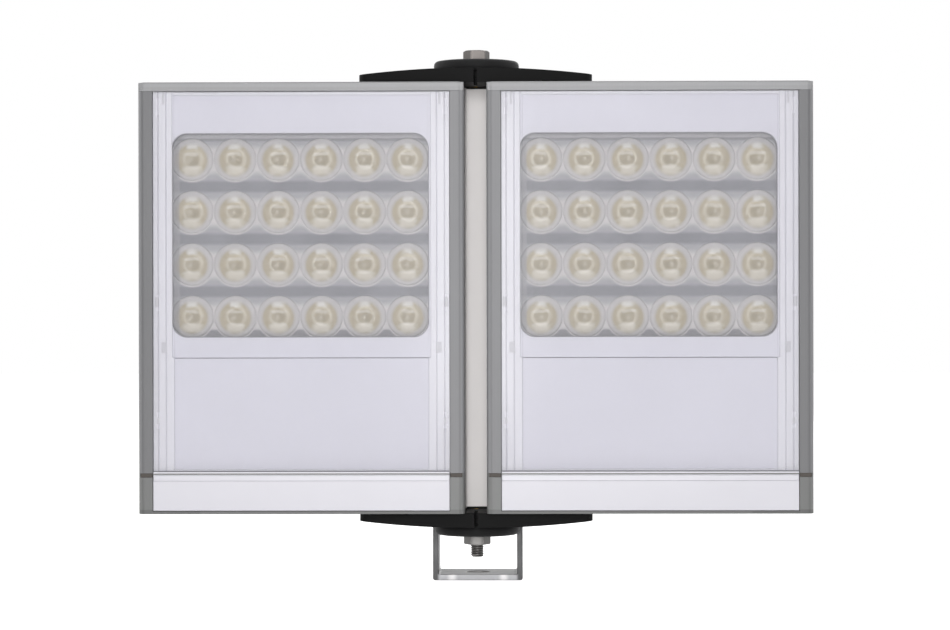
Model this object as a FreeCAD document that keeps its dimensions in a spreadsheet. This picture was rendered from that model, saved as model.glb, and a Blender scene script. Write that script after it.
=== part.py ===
import FreeCAD, Part
import math
import os
import re

import Sketcher

# Twin white-light illuminator: two finned LED lamps hinged on a central spine,
# which tilts in a U-shaped bracket. Millimetres, X to the right, Y to the rear,
# Z up. The origin is the centre of the bracket's underside, on its mounting hole.

SIZES = [
    # lamp envelope
    ("lampWidth", 136), ("lampHeight", 180), ("lampDepth", 68), ("lampGap", 9.3),
    ("lampLift", 32.5), ("frontReach", 70), ("hingeDepth", 39),
    ("sideDepth", 26), ("shoulderHalf", 41.2), ("shoulderDepth", 40), ("tailHalf", 24.2),
    # lamp shell
    ("crownHeight", 3.75), ("footHeight", 17), ("railWidth", 6), ("wall", 3),
    ("ledgeDepth", 3.5), ("ledgeWidth", 3), ("ledgeEnd", 10), ("cavityDepth", 18),
    ("backPlate", 6), ("finPitch", 7), ("finThickness", 2), ("finGaps", 18),
    ("railRound", 2.6), ("portRadius", 3.2), ("portInset", 6), ("portDepth", 15),
    ("footFloor", 3), ("stripDrop", 0.6), ("stripThickness", 1.5), ("stripFoot", 1.2),
    ("stripLipHeight", 2.6), ("stripLipDepth", 0.5), ("capRound", 2),
    ("seamHeight", 0.9), ("seamDepth", 4), ("seamInset", 0.8),
    # front glazing and face plates
    ("coverSetback", 0.5), ("coverThickness", 2), ("fitGap", 0.2), ("coverDishDepth", 0.8),
    ("clipInset", 1.2), ("clipThickness", 1.4), ("clipHeight", 7), ("clipHookDepth", 1.2),
    ("clipHookWidth", 1), ("lowClipLift", 39), ("midClipLift", 88), ("topClipLift", 170),
    ("sealSideWidth", 8.8), ("sealEndWidth", 1.4),
    ("plateThickness", 2), ("faceSplit", 65.1),
    ("windowSideGap", 9.1), ("windowHeight", 83.7), ("windowFootGap", 8.85),
    ("windowRound", 6.2),
    # light engine
    ("ledColumns", 6), ("ledRows", 4), ("gridSideGap", 7.7), ("gridEndGap", 8.9),
    ("gridDrop", 1), ("ledSize", 3.5), ("ledHeight", 1.2), ("boardThickness", 1.6),
    ("ledBoardMargin", 5), ("lensRadius", 7.9), ("lensWaistRadius", 6),
    ("lensTailRadius", 4), ("lensDepth", 6.6),
    ("lensPlate", 1.2), ("lensRise", 0.9), ("lensLegRadius", 1.5), ("ledAirGap", 0.2),
    ("driverHalf", 50), ("driverHeight", 22), ("driverFoot", 41), ("driverPost", 3),
    ("postRadius", 3), ("postInset", 5), ("capacitorRadius", 3), ("capacitorLength", 16),
    ("capacitorCount", 3), ("capacitorPitch", 7.2), ("coilSize", 14), ("coilHeight", 6),
    ("terminalLength", 18), ("terminalHeight", 6), ("terminalInset", 8),
    ("terminalFoot", 1), ("terminalDepth", 8),
    # hinge
    ("armThickness", 6), ("armTipThickness", 3.7), ("armReach", 49), ("armFrontDepth", 4),
    ("armTipFront", 12), ("armTipRear", 30), ("armRootRear", 36), ("armSeam", 1.4),
    ("armSlotStart", 28), ("armSlotHeight", 1), ("armSlotDepth", 16), ("armFootReach", 45.9),
    ("armFootHalf", 1.2), ("armTipRound", 4), ("archRadius", 420), ("eyeRadius", 15.5),
    ("eyeRelief", 0.4), ("eyeGap", 0.1), ("discRadius", 18.2), ("discHeight", 5.8),
    ("discDome", 0.7), ("discRim", 1.6), ("discBevel", 2.1), ("discShoulder", 0.6),
    ("discGap", 0.1), ("bushRadius", 5), ("bushFit", 0.05), ("spineGap", 0.15),
    ("boltRadius", 3), ("boltFit", 0.2), ("boltHeadHalf", 5), ("boltHeadHeight", 4),
    ("boltCrownFoot", 11.7), ("boltCrownTop", 4.75),
    ("nutHeight", 3.6), ("studTail", 5.4), ("washerRadius", 6.2), ("washerThickness", 1),
    # spine
    ("noseHalf", 8), ("noseDepth", 35), ("spineHalf", 16.7), ("spineShoulder", 49),
    ("spineTail", 12), ("channelHalf", 12), ("channelFront", 16), ("noseRound", 3),
    # bracket
    ("bracketHalf", 19.5), ("bracketThickness", 2.5), ("bracketDepth", 30),
    ("bracketBend", 1), ("bracketInnerRound", 0.8), ("legRound", 11), ("legTaperFoot", 12),
    ("pivotHeight", 62), ("mountRadius", 5.25), ("pivotEndGap", 1),
    # fasteners and cable entry
    ("armScrewRadius", 2), ("armScrewHead", 3.8), ("armScrewSink", 1.8),
    ("armScrewNearReach", 22), ("armScrewFarReach", 41), ("armScrewNearDepth", 18),
    ("armScrewFarDepth", 21), ("capScrewRadius", 1.4), ("capScrewHead", 2.8),
    ("capScrewSink", 1.6), ("capScrewLength", 14),
    ("glandLift", 29), ("glandThread", 5.9), ("glandHexHalf", 7.5), ("glandHex", 4.5),
    ("glandTail", 5.5), ("glandNutLength", 6), ("glandDome", 4), ("glandDomeFoot", 7.1),
    ("glandDomeRadius", 5.4), ("glandBore", 4.6), ("sealBore", 3.25), ("sealLength", 9),
    ("glandClearing", 12.5), ("clearingHeight", 26), ("locknutHeight", 3.2), ("threadFit", 0.1),
]

PLACES = [
    ("midX", "lampGap / 2 + lampWidth / 2"),
    ("halfWidth", "lampWidth / 2"),
    ("frontY", "-frontReach"),
    ("hingeY", "frontY + hingeDepth"),
    ("lampTop", "lampLift + lampHeight"),
    ("lampMiddle", "lampLift + lampHeight / 2"),
    ("shellFoot", "lampLift + footHeight"),
    ("shellTop", "lampTop - crownHeight"),
    ("openHalf", "halfWidth - railWidth"),
    ("ledgeHalf", "openHalf - ledgeWidth"),
    ("cavityHalf", "halfWidth - wall"),
    ("backY", "frontY + cavityDepth"),
    ("finFootY", "backY + backPlate"),
    ("coverY", "frontY + coverSetback"),
    ("gasketY", "coverY + coverThickness"),
    ("plateY", "frontY + ledgeDepth"),
    ("splitZ", "lampLift + faceSplit"),
    ("plateHalf", "openHalf - fitGap - sealSideWidth"),
    ("windowHalfX", "openHalf - windowSideGap"),
    ("windowZ", "splitZ + windowFootGap + windowHeight / 2"),
    ("gridZ", "windowZ - gridDrop"),
    ("gridHalfX", "windowHalfX - gridSideGap"),
    ("gridHalfZ", "windowHeight / 2 - gridEndGap"),
    ("columnPitch", "2 * gridHalfX / (ledColumns - 1)"),
    ("rowPitch", "2 * gridHalfZ / (ledRows - 1)"),
    ("clipX", "openHalf - fitGap - clipInset"),
    ("boardY", "backY - boardThickness"),
    ("ledY", "boardY - ledHeight"),
    ("lensTailY", "ledY - ledAirGap"),
    ("lensPlateY", "lensTailY - lensDepth"),
    ("boardHalfX", "gridHalfX + ledSize + ledBoardMargin"),
    ("boardHalfZ", "gridHalfZ + ledSize + ledBoardMargin"),
    ("driverY", "backY - driverPost - boardThickness"),
    ("driverZ", "lampLift + driverFoot"),
    ("portX", "halfWidth - portInset"),
    ("portY", "frontY + portDepth"),
    ("armTop", "lampTop + armThickness"),
    ("armMiddle", "lampTop + armThickness / 2"),
    ("discFoot", "armTop + discGap"),
    ("discTop", "discFoot + discHeight"),
    ("seatZ", "discTop - washerThickness"),
    ("nutTop", "2 * lampMiddle - discTop"),
    ("legTop", "pivotHeight + legRound"),
    ("legInner", "bracketHalf - bracketThickness"),
    ("glandZ", "lampLift + glandLift"),
    ("stripTop", "shellFoot - stripDrop"),
]

doc = FreeCAD.newDocument("TwinLampIlluminator")


def fill_sheet(name, rows, lead):
    """A sheet with one aliased cell a row, its first column the name."""
    sheet = doc.addObject("Spreadsheet::Sheet", name)
    for line, (alias, content) in enumerate(rows, 1):
        sheet.set("A%d" % line, alias)
        sheet.set("B%d" % line, lead(content))
        sheet.setAlias("B%d" % line, alias)
    doc.recompute()
    return sheet


def full(text):
    """An expression with each alias led back to its sheet."""
    def lead(match):
        word = match.group(0)
        return OWNER.get(word, "") + word
    return re.sub(r"[A-Za-z]\w*", lead, str(text))


OWNER = {alias: "Sizes." for alias, content in SIZES}
OWNER.update({alias: "Places." for alias, content in PLACES})
sizes = fill_sheet("Sizes", SIZES, str)


def formula(content):
    """A place as a formula; words of its own sheet stay as they are."""
    return "=" + full(content).replace("Places.", "")


places = fill_sheet("Places", PLACES, formula)


def value(text):
    return float(sizes.evalExpression(full(text)))


def bind(thing, **properties):
    """Ties properties of an object to expressions."""
    for name, text in properties.items():
        thing.setExpression(name, full(text))


def place(thing, x, y, z):
    for axis, text in zip("xyz", (x, y, z)):
        thing.setExpression(".Placement.Base." + axis, full(text))


# Primitives and booleans

TURN = {"x": FreeCAD.Rotation(FreeCAD.Vector(0, 1, 0), 90),
        "y": FreeCAD.Rotation(FreeCAD.Vector(1, 0, 0), -90),
        "z": FreeCAD.Rotation()}


def box(name, x, y, z):
    """A box between two expressions on each axis."""
    solid = doc.addObject("Part::Box", name)
    bind(solid, Length="(%s) - (%s)" % (x[1], x[0]), Width="(%s) - (%s)" % (y[1], y[0]),
         Height="(%s) - (%s)" % (z[1], z[0]))
    place(solid, x[0], y[0], z[0])
    return solid


def turned(kind, name, axis, start, **properties):
    """A cylinder, cone or prism that rises from start along an axis."""
    solid = doc.addObject(kind, name)
    bind(solid, **properties)
    solid.Placement = FreeCAD.Placement(FreeCAD.Vector(), TURN[axis])
    place(solid, *start)
    return solid


def rod(name, axis, start, radius, length):
    return turned("Part::Cylinder", name, axis, start, Radius=radius, Height=length)


def taper(name, axis, start, first, last, length):
    return turned("Part::Cone", name, axis, start, Radius1=first, Radius2=last, Height=length)


def hexagon(name, axis, start, half_flats, length):
    solid = turned("Part::Prism", name, axis, start,
                   Circumradius="(%s) / cos(30)" % half_flats, Height=length)
    solid.Polygon = 6
    return solid


def joined(kind, name, solids):
    result = doc.addObject(kind, name)
    setattr(result, "Links" if kind == "Part::Compound" else "Shapes", solids)
    return result


def fuse(name, *solids):
    return joined("Part::MultiFuse", name, list(solids))


def group(name, *solids):
    return joined("Part::Compound", name, list(solids))


def cut(name, base, *tools):
    result = doc.addObject("Part::Cut", name)
    result.Base = base
    result.Tool = tools[0] if len(tools) == 1 else fuse(name + "_tools", *tools)
    return result


def common(name, *solids):
    return joined("Part::MultiCommon", name, list(solids))


def mirrored(name, source, normal, height="0"):
    """The mirror image in a plane through the origin, or at a height."""
    result = doc.addObject("Part::Mirroring", name)
    result.Source = source
    result.Normal = normal
    result.setExpression(".Base.z", full(height))
    return result


# Bodies drawn from dimensioned sketches

def rectangle(x0, x1, y0, y1):
    return [(x0, y0), (x1, y0), (x1, y1), (x0, y1)]


def arc_between(first, last, radius, left):
    """The shorter arc from first to last that bends left or right."""
    chord = last - first
    across = FreeCAD.Vector(-chord.y, chord.x, 0).normalize()
    reach = math.sqrt(max(radius ** 2 - chord.Length ** 2 / 4, 0))
    centre = (first + last) * 0.5 + across * (reach if left else -reach)
    start, end = (first, last) if left else (last, first)
    angles = [math.atan2(point.y - centre.y, point.x - centre.x) for point in (start, end)]
    return Part.ArcOfCircle(Part.Circle(centre, FreeCAD.Vector(0, 0, 1), radius), *angles)


def ring(x, y, radius, sides=12):
    """Corners of a regular polygon round a centre, as wide as radius at its flats."""
    turn = 360 / sides
    return [("%s + %s * cos(%s) / cos(%s)" % (x, radius, (step + 0.5) * turn, turn / 2),
             "%s + %s * sin(%s) / cos(%s)" % (y, radius, (step + 0.5) * turn, turn / 2))
            for step in range(sides)]


class Solid:
    """A body whose pads and pockets run along +X, +Y or +Z from a named level."""

    def __init__(self, label):
        self.body = doc.addObject("PartDesign::Body", label)
        self.body.Label = label
        self.count = 0

    def sketch(self, plane, level):
        self.count += 1
        result = self.body.newObject("Sketcher::SketchObject",
                                     "%s_sketch%d" % (self.body.Name, self.count))
        support = [item for item in self.body.Origin.OriginFeatures
                   if item.Role == plane + "_Plane"]
        result.AttachmentSupport = [(support[0], "")]
        result.MapMode = "FlatFace"
        sign = "-" if plane == "XZ" else ""
        result.setExpression(".AttachmentOffset.Base.z", full("%s(%s)" % (sign, level)))
        return result

    def size(self, sketch, kind, ends, text):
        number = sketch.addConstraint(Sketcher.Constraint(kind, *ends, value(text)))
        sketch.setExpression("Constraints[%d]" % number, full(text))

    def outline(self, plane, level, points):
        """A closed outline; a point (x, y, side, radius) starts an arc."""
        sketch = self.sketch(plane, level)
        spots = [FreeCAD.Vector(value(point[0]), value(point[1]), 0) for point in points]
        ends = []
        for number, point in enumerate(points):
            first, last = spots[number], spots[(number + 1) % len(spots)]
            left = len(point) == 2 or point[2] == "left"
            if len(point) == 2:
                line = Part.LineSegment(first, last)
            else:
                line = arc_between(first, last, value(point[3]), left)
            sketch.addGeometry(line, False)
            ends.append((1, 2) if left else (2, 1))
        for number, point in enumerate(points):
            after = (number + 1) % len(points)
            sketch.addConstraint(Sketcher.Constraint(
                "Coincident", number, ends[number][1], after, ends[after][0]))
            self.size(sketch, "DistanceX", (-1, 1, number, ends[number][0]), point[0])
            self.size(sketch, "DistanceY", (-1, 1, number, ends[number][0]), point[1])
            if len(point) == 4:
                self.size(sketch, "Radius", (number,), point[3])
        return sketch

    def circles(self, plane, level, rings):
        """Circles given as (x, y, radius)."""
        sketch = self.sketch(plane, level)
        for number, (x, y, radius) in enumerate(rings):
            centre = FreeCAD.Vector(value(x), value(y), 0)
            sketch.addGeometry(Part.Circle(centre, FreeCAD.Vector(0, 0, 1), value(radius)), False)
            self.size(sketch, "DistanceX", (-1, 1, number, 3), x)
            self.size(sketch, "DistanceY", (-1, 1, number, 3), y)
            self.size(sketch, "Radius", (number,), radius)
        return sketch

    def feature(self, kind, sketch, length, reverse):
        result = self.body.newObject("PartDesign::" + kind,
                                     "%s_%s%d" % (self.body.Name, kind.lower(), self.count))
        result.Profile = sketch
        result.setExpression("Length", full(length))
        result.Reversed = reverse
        self.last = result
        doc.recompute()
        return self

    def pad(self, sketch, length):
        return self.feature("Pad", sketch, length, self.lies_on_xz(sketch))

    def pocket(self, sketch, length):
        return self.feature("Pocket", sketch, length, not self.lies_on_xz(sketch))

    def lies_on_xz(self, sketch):
        return sketch.AttachmentSupport[0][0].Role == "XZ_Plane"

    def revolve(self, sketch):
        result = self.body.newObject("PartDesign::Revolution", self.body.Name + "_turn")
        result.Profile = sketch
        result.ReferenceAxis = (sketch, ["V_Axis"])
        result.Angle = 360
        self.last = result
        doc.recompute()
        return self

    def row(self, pitch, copies):
        """Repeats the last feature along X."""
        axis = [item for item in self.body.Origin.OriginFeatures if item.Role == "X_Axis"]
        result = self.body.newObject("PartDesign::LinearPattern", self.body.Name + "_row")
        result.Originals = [self.last]
        result.Direction = (axis[0], [""])
        bind(result, Length="(%s) * (%s - 1)" % (pitch, copies), Occurrences=copies)
        self.body.Tip = result
        self.last = result
        doc.recompute()
        return self

    def grid(self, features, columns, rows):
        """Repeats features along X and Z, each given as (pitch, copies)."""
        result = self.body.newObject("PartDesign::MultiTransform", self.body.Name + "_grid")
        result.Originals = features
        steps = []
        for role, (pitch, copies) in (("X_Axis", columns), ("Z_Axis", rows)):
            axis = [item for item in self.body.Origin.OriginFeatures if item.Role == role]
            step = self.body.newObject("PartDesign::LinearPattern", self.body.Name + "_" + role)
            step.Direction = (axis[0], [""])
            bind(step, Length="(%s) * (%s - 1)" % (pitch, copies), Occurrences=copies)
            steps.append(step)
        result.Transformations = steps
        self.body.Tip = result
        self.last = result
        doc.recompute()
        return self

    def round(self, radius, axis, corners):
        """Rounds the edges along an axis that pass through the given corners."""
        number = "xyz".index(axis)
        spots = [tuple(value(text) for text in corner) for corner in corners]
        names = []
        for index, edge in enumerate(self.body.Shape.Edges, 1):
            tangent = edge.tangentAt(edge.FirstParameter)
            if abs(abs(tangent[number]) - 1) > 1e-6:
                continue
            middle = list(edge.CenterOfMass)
            del middle[number]
            if any(math.dist(middle, spot) < 0.01 for spot in spots):
                names.append("Edge%d" % index)
        result = self.body.newObject("PartDesign::Fillet",
                                     "%s_round%d" % (self.body.Name, self.count))
        self.count += 1
        result.Base = (self.last, names)
        bind(result, Radius=radius)
        self.last = result
        doc.recompute()
        return self


pieces = []


def keep(thing):
    """Marks a finished sub-part under its own label."""
    thing.Label = thing.Name
    pieces.append(thing)
    return thing


# Bracket: a square-cornered U, its legs tapering to rounded ends

def make_bracket():
    strip = Solid("bracket_strip")
    strip.pad(strip.outline("XZ", "-bracketDepth / 2", [
        ("-bracketHalf", "legTop"), ("-bracketHalf", "bracketBend", "left", "bracketBend"),
        ("-bracketHalf + bracketBend", "0"),
        ("bracketHalf - bracketBend", "0", "left", "bracketBend"),
        ("bracketHalf", "bracketBend"), ("bracketHalf", "legTop"), ("legInner", "legTop"),
        ("legInner", "bracketThickness + bracketInnerRound", "right", "bracketInnerRound"),
        ("legInner - bracketInnerRound", "bracketThickness"),
        ("-legInner + bracketInnerRound", "bracketThickness", "right", "bracketInnerRound"),
        ("-legInner", "bracketThickness + bracketInnerRound"), ("-legInner", "legTop")]),
        "bracketDepth")
    side = Solid("bracket_side")
    side.pad(side.outline("YZ", "-bracketHalf - 1", [
        ("-bracketDepth / 2", "-1"), ("bracketDepth / 2", "-1"),
        ("bracketDepth / 2", "legTaperFoot"),
        ("legRound", "pivotHeight", "left", "legRound"),
        ("0", "legTop", "left", "legRound"), ("-legRound", "pivotHeight"),
        ("-bracketDepth / 2", "legTaperFoot")]), "2 * bracketHalf + 2")
    blank = common("bracket_blank", strip.body, side.body)
    pivot = rod("bracket_pivot_hole", "x", ("-bracketHalf - 1", "0", "pivotHeight"),
                "boltRadius + boltFit", "2 * bracketHalf + 2")
    mount = rod("bracket_mount_hole", "z", ("0", "0", "-1"), "mountRadius",
                "bracketThickness + 2")
    keep(cut("u_bracket", blank, pivot, mount))


# Spine: an extrusion with a solid nose round the hinge bolt, open to the rear

def make_spine():
    spine = Solid("centre_spine")
    spine.pad(spine.outline("XY", "lampLift + spineGap", [
        ("-noseHalf", "frontY + noseDepth"), ("noseHalf", "frontY + noseDepth"),
        ("spineHalf", "frontY + spineShoulder"), ("spineHalf", "spineTail"),
        ("-spineHalf", "spineTail"), ("-spineHalf", "frontY + spineShoulder")]),
        "lampHeight - 2 * spineGap")
    spine.pocket(spine.outline("XY", "lampLift", rectangle(
        "-channelHalf", "channelHalf", "-channelFront", "spineTail + 1")), "lampHeight")
    spine.round("noseRound", "z", [("-noseHalf", "frontY + noseDepth"),
                                   ("noseHalf", "frontY + noseDepth"),
                                   ("spineHalf", "frontY + spineShoulder"),
                                   ("-spineHalf", "frontY + spineShoulder")])
    spine.pocket(spine.circles("XY", "lampLift", [("0", "hingeY", "boltRadius + boltFit")]),
                 "lampHeight")
    spine.pocket(spine.circles("YZ", "-spineHalf - 1",
                               [("0", "pivotHeight", "boltRadius + threadFit")]),
                 "2 * spineHalf + 2")
    keep(spine.body)


def make_hinge_hardware():
    disc = Solid("upper_hinge_disc")
    disc.revolve(disc.outline("XZ", "hingeY", [
        ("boltRadius + boltFit", "discFoot"), ("discRadius - discRim", "discFoot"),
        ("discRadius", "discFoot + discRim"),
        ("discRadius", "discTop - discDome - discBevel"),
        ("discRadius - discShoulder", "discTop - discDome - discShoulder"),
        ("discRadius - discBevel", "discTop - discDome"),
        ("washerRadius + fitGap", "discTop"), ("washerRadius + fitGap", "seatZ"),
        ("boltRadius + boltFit", "seatZ")]))
    keep(disc.body)
    keep(mirrored("lower_hinge_disc", disc.body, (0, 0, 1), "lampMiddle"))

    head = hexagon("bolt_head", "z", ("0", "hingeY", "discTop"), "boltHeadHalf",
                   "boltHeadHeight")
    crown = taper("bolt_crown", "z", ("0", "hingeY", "discTop"), "boltCrownFoot",
                  "boltCrownTop", "boltHeadHeight")
    stud = rod("bolt_shank", "z", ("0", "hingeY", "nutTop - nutHeight - studTail"),
               "boltRadius", "discTop - nutTop + nutHeight + studTail")
    keep(fuse("hinge_bolt", common("bolt_cap", head, crown), stud))

    nut = hexagon("nut_blank", "z", ("0", "hingeY", "nutTop - nutHeight"), "boltHeadHalf",
                  "nutHeight")
    keep(cut("hinge_nut", nut, rod("nut_bore", "z", ("0", "hingeY", "nutTop - nutHeight - 1"),
                                   "boltRadius + threadFit", "nutHeight + 2")))

    ring = cut("upper_washer", rod("washer_blank", "z", ("0", "hingeY", "seatZ"),
                                   "washerRadius", "washerThickness"),
               rod("washer_bore", "z", ("0", "hingeY", "seatZ - 1"), "boltRadius + boltFit",
                   "washerThickness + 2"))
    keep(group("hinge_washers", ring, mirrored("lower_washer", ring, (0, 0, 1), "lampMiddle")))

    bush = cut("upper_bush", rod("bush_blank", "z", ("0", "hingeY", "lampTop"), "bushRadius",
                                 "armThickness"),
               rod("bush_bore", "z", ("0", "hingeY", "lampTop - 1"), "boltRadius + threadFit",
                   "armThickness + 2"))
    keep(bush)
    keep(mirrored("lower_bush", bush, (0, 0, 1), "lampMiddle"))


def make_pivot_hardware():
    head_x = "bracketHalf + washerThickness"
    head = hexagon("pivot_head", "x", (head_x, "0", "pivotHeight"), "boltHeadHalf",
                   "boltHeadHeight")
    shank = rod("pivot_shank", "x", ("channelHalf - pivotEndGap", "0", "pivotHeight"),
                "boltRadius", head_x + " - channelHalf + pivotEndGap")
    right = fuse("right_pivot_bolt", head, shank)
    keep(group("pivot_bolts", right, mirrored("left_pivot_bolt", right, (1, 0, 0))))
    ring = cut("right_pivot_washer",
               rod("pivot_washer_blank", "x", ("bracketHalf", "0", "pivotHeight"),
                   "washerRadius", "washerThickness"),
               rod("pivot_washer_bore", "x", ("bracketHalf - 1", "0", "pivotHeight"),
                   "boltRadius + boltFit", "washerThickness + 2"))
    keep(group("pivot_washers", ring, mirrored("left_pivot_washer", ring, (1, 0, 0))))


# Hinge arms: winged plates on the lamps' ends, their eyes half-lapped on the bush

def make_arm(name, sign, eye_foot, eye_top, relief_foot, relief_top):
    """An upper arm; sign is +1 on the right and -1 on the left."""
    def across(text):
        return text if sign > 0 else "-(%s)" % text

    arm = Solid(name)
    wing = [(across("armSeam / 2"), "frontY + armFrontDepth"),
            (across("armReach"), "frontY + armTipFront"),
            (across("armReach"), "frontY + armTipRear"),
            (across("eyeRadius"), "frontY + armRootRear"),
            (across("armSeam / 2"), "frontY + armRootRear")]
    arm.pad(arm.outline("XY", "lampTop", wing), "armThickness")
    arm.round("armTipRound", "z", [wing[1], wing[2]])
    arm.pocket(arm.circles("XY", relief_foot, [("0", "hingeY", "eyeRadius + eyeRelief")]),
               "%s - (%s)" % (relief_top, relief_foot))
    arm.pad(arm.circles("XY", eye_foot, [("0", "hingeY", "eyeRadius")]),
            "%s - (%s)" % (eye_top, eye_foot))
    for near, far in (("armSlotStart", "armFootReach - armFootHalf"),
                      ("armFootReach + armFootHalf", "armReach + 1")):
        arm.pocket(arm.outline("XZ", "frontY", rectangle(
            across(near), across(far), "lampTop - 1", "lampTop + armSlotHeight")),
            "armSlotDepth")
    arch = [(across("discRadius"), "armTop", "right" if sign > 0 else "left", "archRadius"),
            (across("armReach + 1"), "lampTop + armTipThickness"),
            (across("armReach + 1"), "armTop + 1"), (across("discRadius"), "armTop + 1")]
    arm.pocket(arm.outline("XZ", "frontY", arch), "hingeDepth + eyeRadius")
    arm.pocket(arm.circles("XY", "lampTop - 1", [
        ("0", "hingeY", "bushRadius + bushFit"),
        (across("armScrewNearReach"), "frontY + armScrewNearDepth", "armScrewRadius + threadFit"),
        (across("armScrewFarReach"), "frontY + armScrewFarDepth", "armScrewRadius + threadFit")]),
        "armThickness + 2")
    arm.pocket(arm.circles("XY", "lampTop + armTipThickness - armScrewSink", [
        (across("armScrewNearReach"), "frontY + armScrewNearDepth", "armScrewHead + threadFit"),
        (across("armScrewFarReach"), "frontY + armScrewFarDepth", "armScrewHead + threadFit")]),
        "armThickness")
    keep(arm.body)
    side = name.split("_")[0]
    keep(mirrored(side + "_lower_arm", arm.body, (0, 0, 1), "lampMiddle"))


def make_arms():
    make_arm("right_upper_arm", 1, "lampTop + eyeGap", "armMiddle - eyeGap / 2",
             "armMiddle - eyeGap / 2", "armTop")
    make_arm("left_upper_arm", -1, "armMiddle + eyeGap / 2", "armTop",
             "lampTop", "armMiddle + eyeGap / 2")


# Right lamp, whose pieces the left lamp mirrors

def lamp_outline(tail):
    """Plan of the lamp to its shoulder, or to its tail where the fins end."""
    points = [("midX - halfWidth", "frontY"), ("midX + halfWidth", "frontY"),
              ("midX + halfWidth", "frontY + sideDepth"),
              ("midX + shoulderHalf", "frontY + shoulderDepth")]
    if tail:
        points += [("midX + tailHalf", "frontY + lampDepth"),
                   ("midX - tailHalf", "frontY + lampDepth")]
    return points + [("midX - shoulderHalf", "frontY + shoulderDepth"),
                     ("midX - halfWidth", "frontY + sideDepth")]


def front_corners():
    return [("midX - halfWidth", "frontY"), ("midX + halfWidth", "frontY")]


def port_circles(radius):
    return [("midX - portX", "portY", radius), ("midX + portX", "portY", radius)]


def make_housing():
    shell = Solid("right_housing")
    height = "shellTop - shellFoot"
    shell.pad(shell.outline("XY", "shellFoot", lamp_outline(True)), height)
    shell.pocket(shell.outline("XY", "shellFoot", [
        ("midX - openHalf", "frontY - 1"), ("midX + openHalf", "frontY - 1"),
        ("midX + openHalf", "plateY"), ("midX + ledgeHalf", "plateY"),
        ("midX + ledgeHalf", "frontY + ledgeEnd"), ("midX + cavityHalf", "frontY + ledgeEnd"),
        ("midX + cavityHalf", "backY"), ("midX - cavityHalf", "backY"),
        ("midX - cavityHalf", "frontY + ledgeEnd"), ("midX - ledgeHalf", "frontY + ledgeEnd"),
        ("midX - ledgeHalf", "plateY"), ("midX - openHalf", "plateY")]), height)
    shell.round("railRound", "z", front_corners())
    shell.pad(shell.circles("XY", "shellFoot", port_circles("portRadius")), height)
    gap = "(finPitch - finThickness) / 2"
    first = "midX - finPitch * (finGaps - 1) / 2"
    shell.pocket(shell.outline("XY", "shellFoot", rectangle(
        "%s - %s" % (first, gap), "%s + %s" % (first, gap), "finFootY",
        "frontY + lampDepth + 1")), height)
    shell.row("finPitch", "finGaps")
    shell.pocket(shell.circles("XY", "shellFoot", port_circles("capScrewRadius + threadFit")),
                 height)
    shell.pocket(shell.outline("XZ", "finFootY", rectangle(
        "midX - glandClearing", "midX + glandClearing", "shellFoot - 1",
        "shellFoot + clearingHeight")), "lampDepth - cavityDepth - backPlate + 1")
    shell.pocket(shell.circles("XZ", "backY - 1", [("midX", "glandZ", "glandThread + threadFit")]),
                 "backPlate + 2")
    clip_slots(shell, "plateY", "frontY + ledgeEnd - plateY", "clipX - clipThickness - fitGap",
               "clipX + clipHookWidth + fitGap", "fitGap", shell.pocket)
    keep(shell.body)


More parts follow.
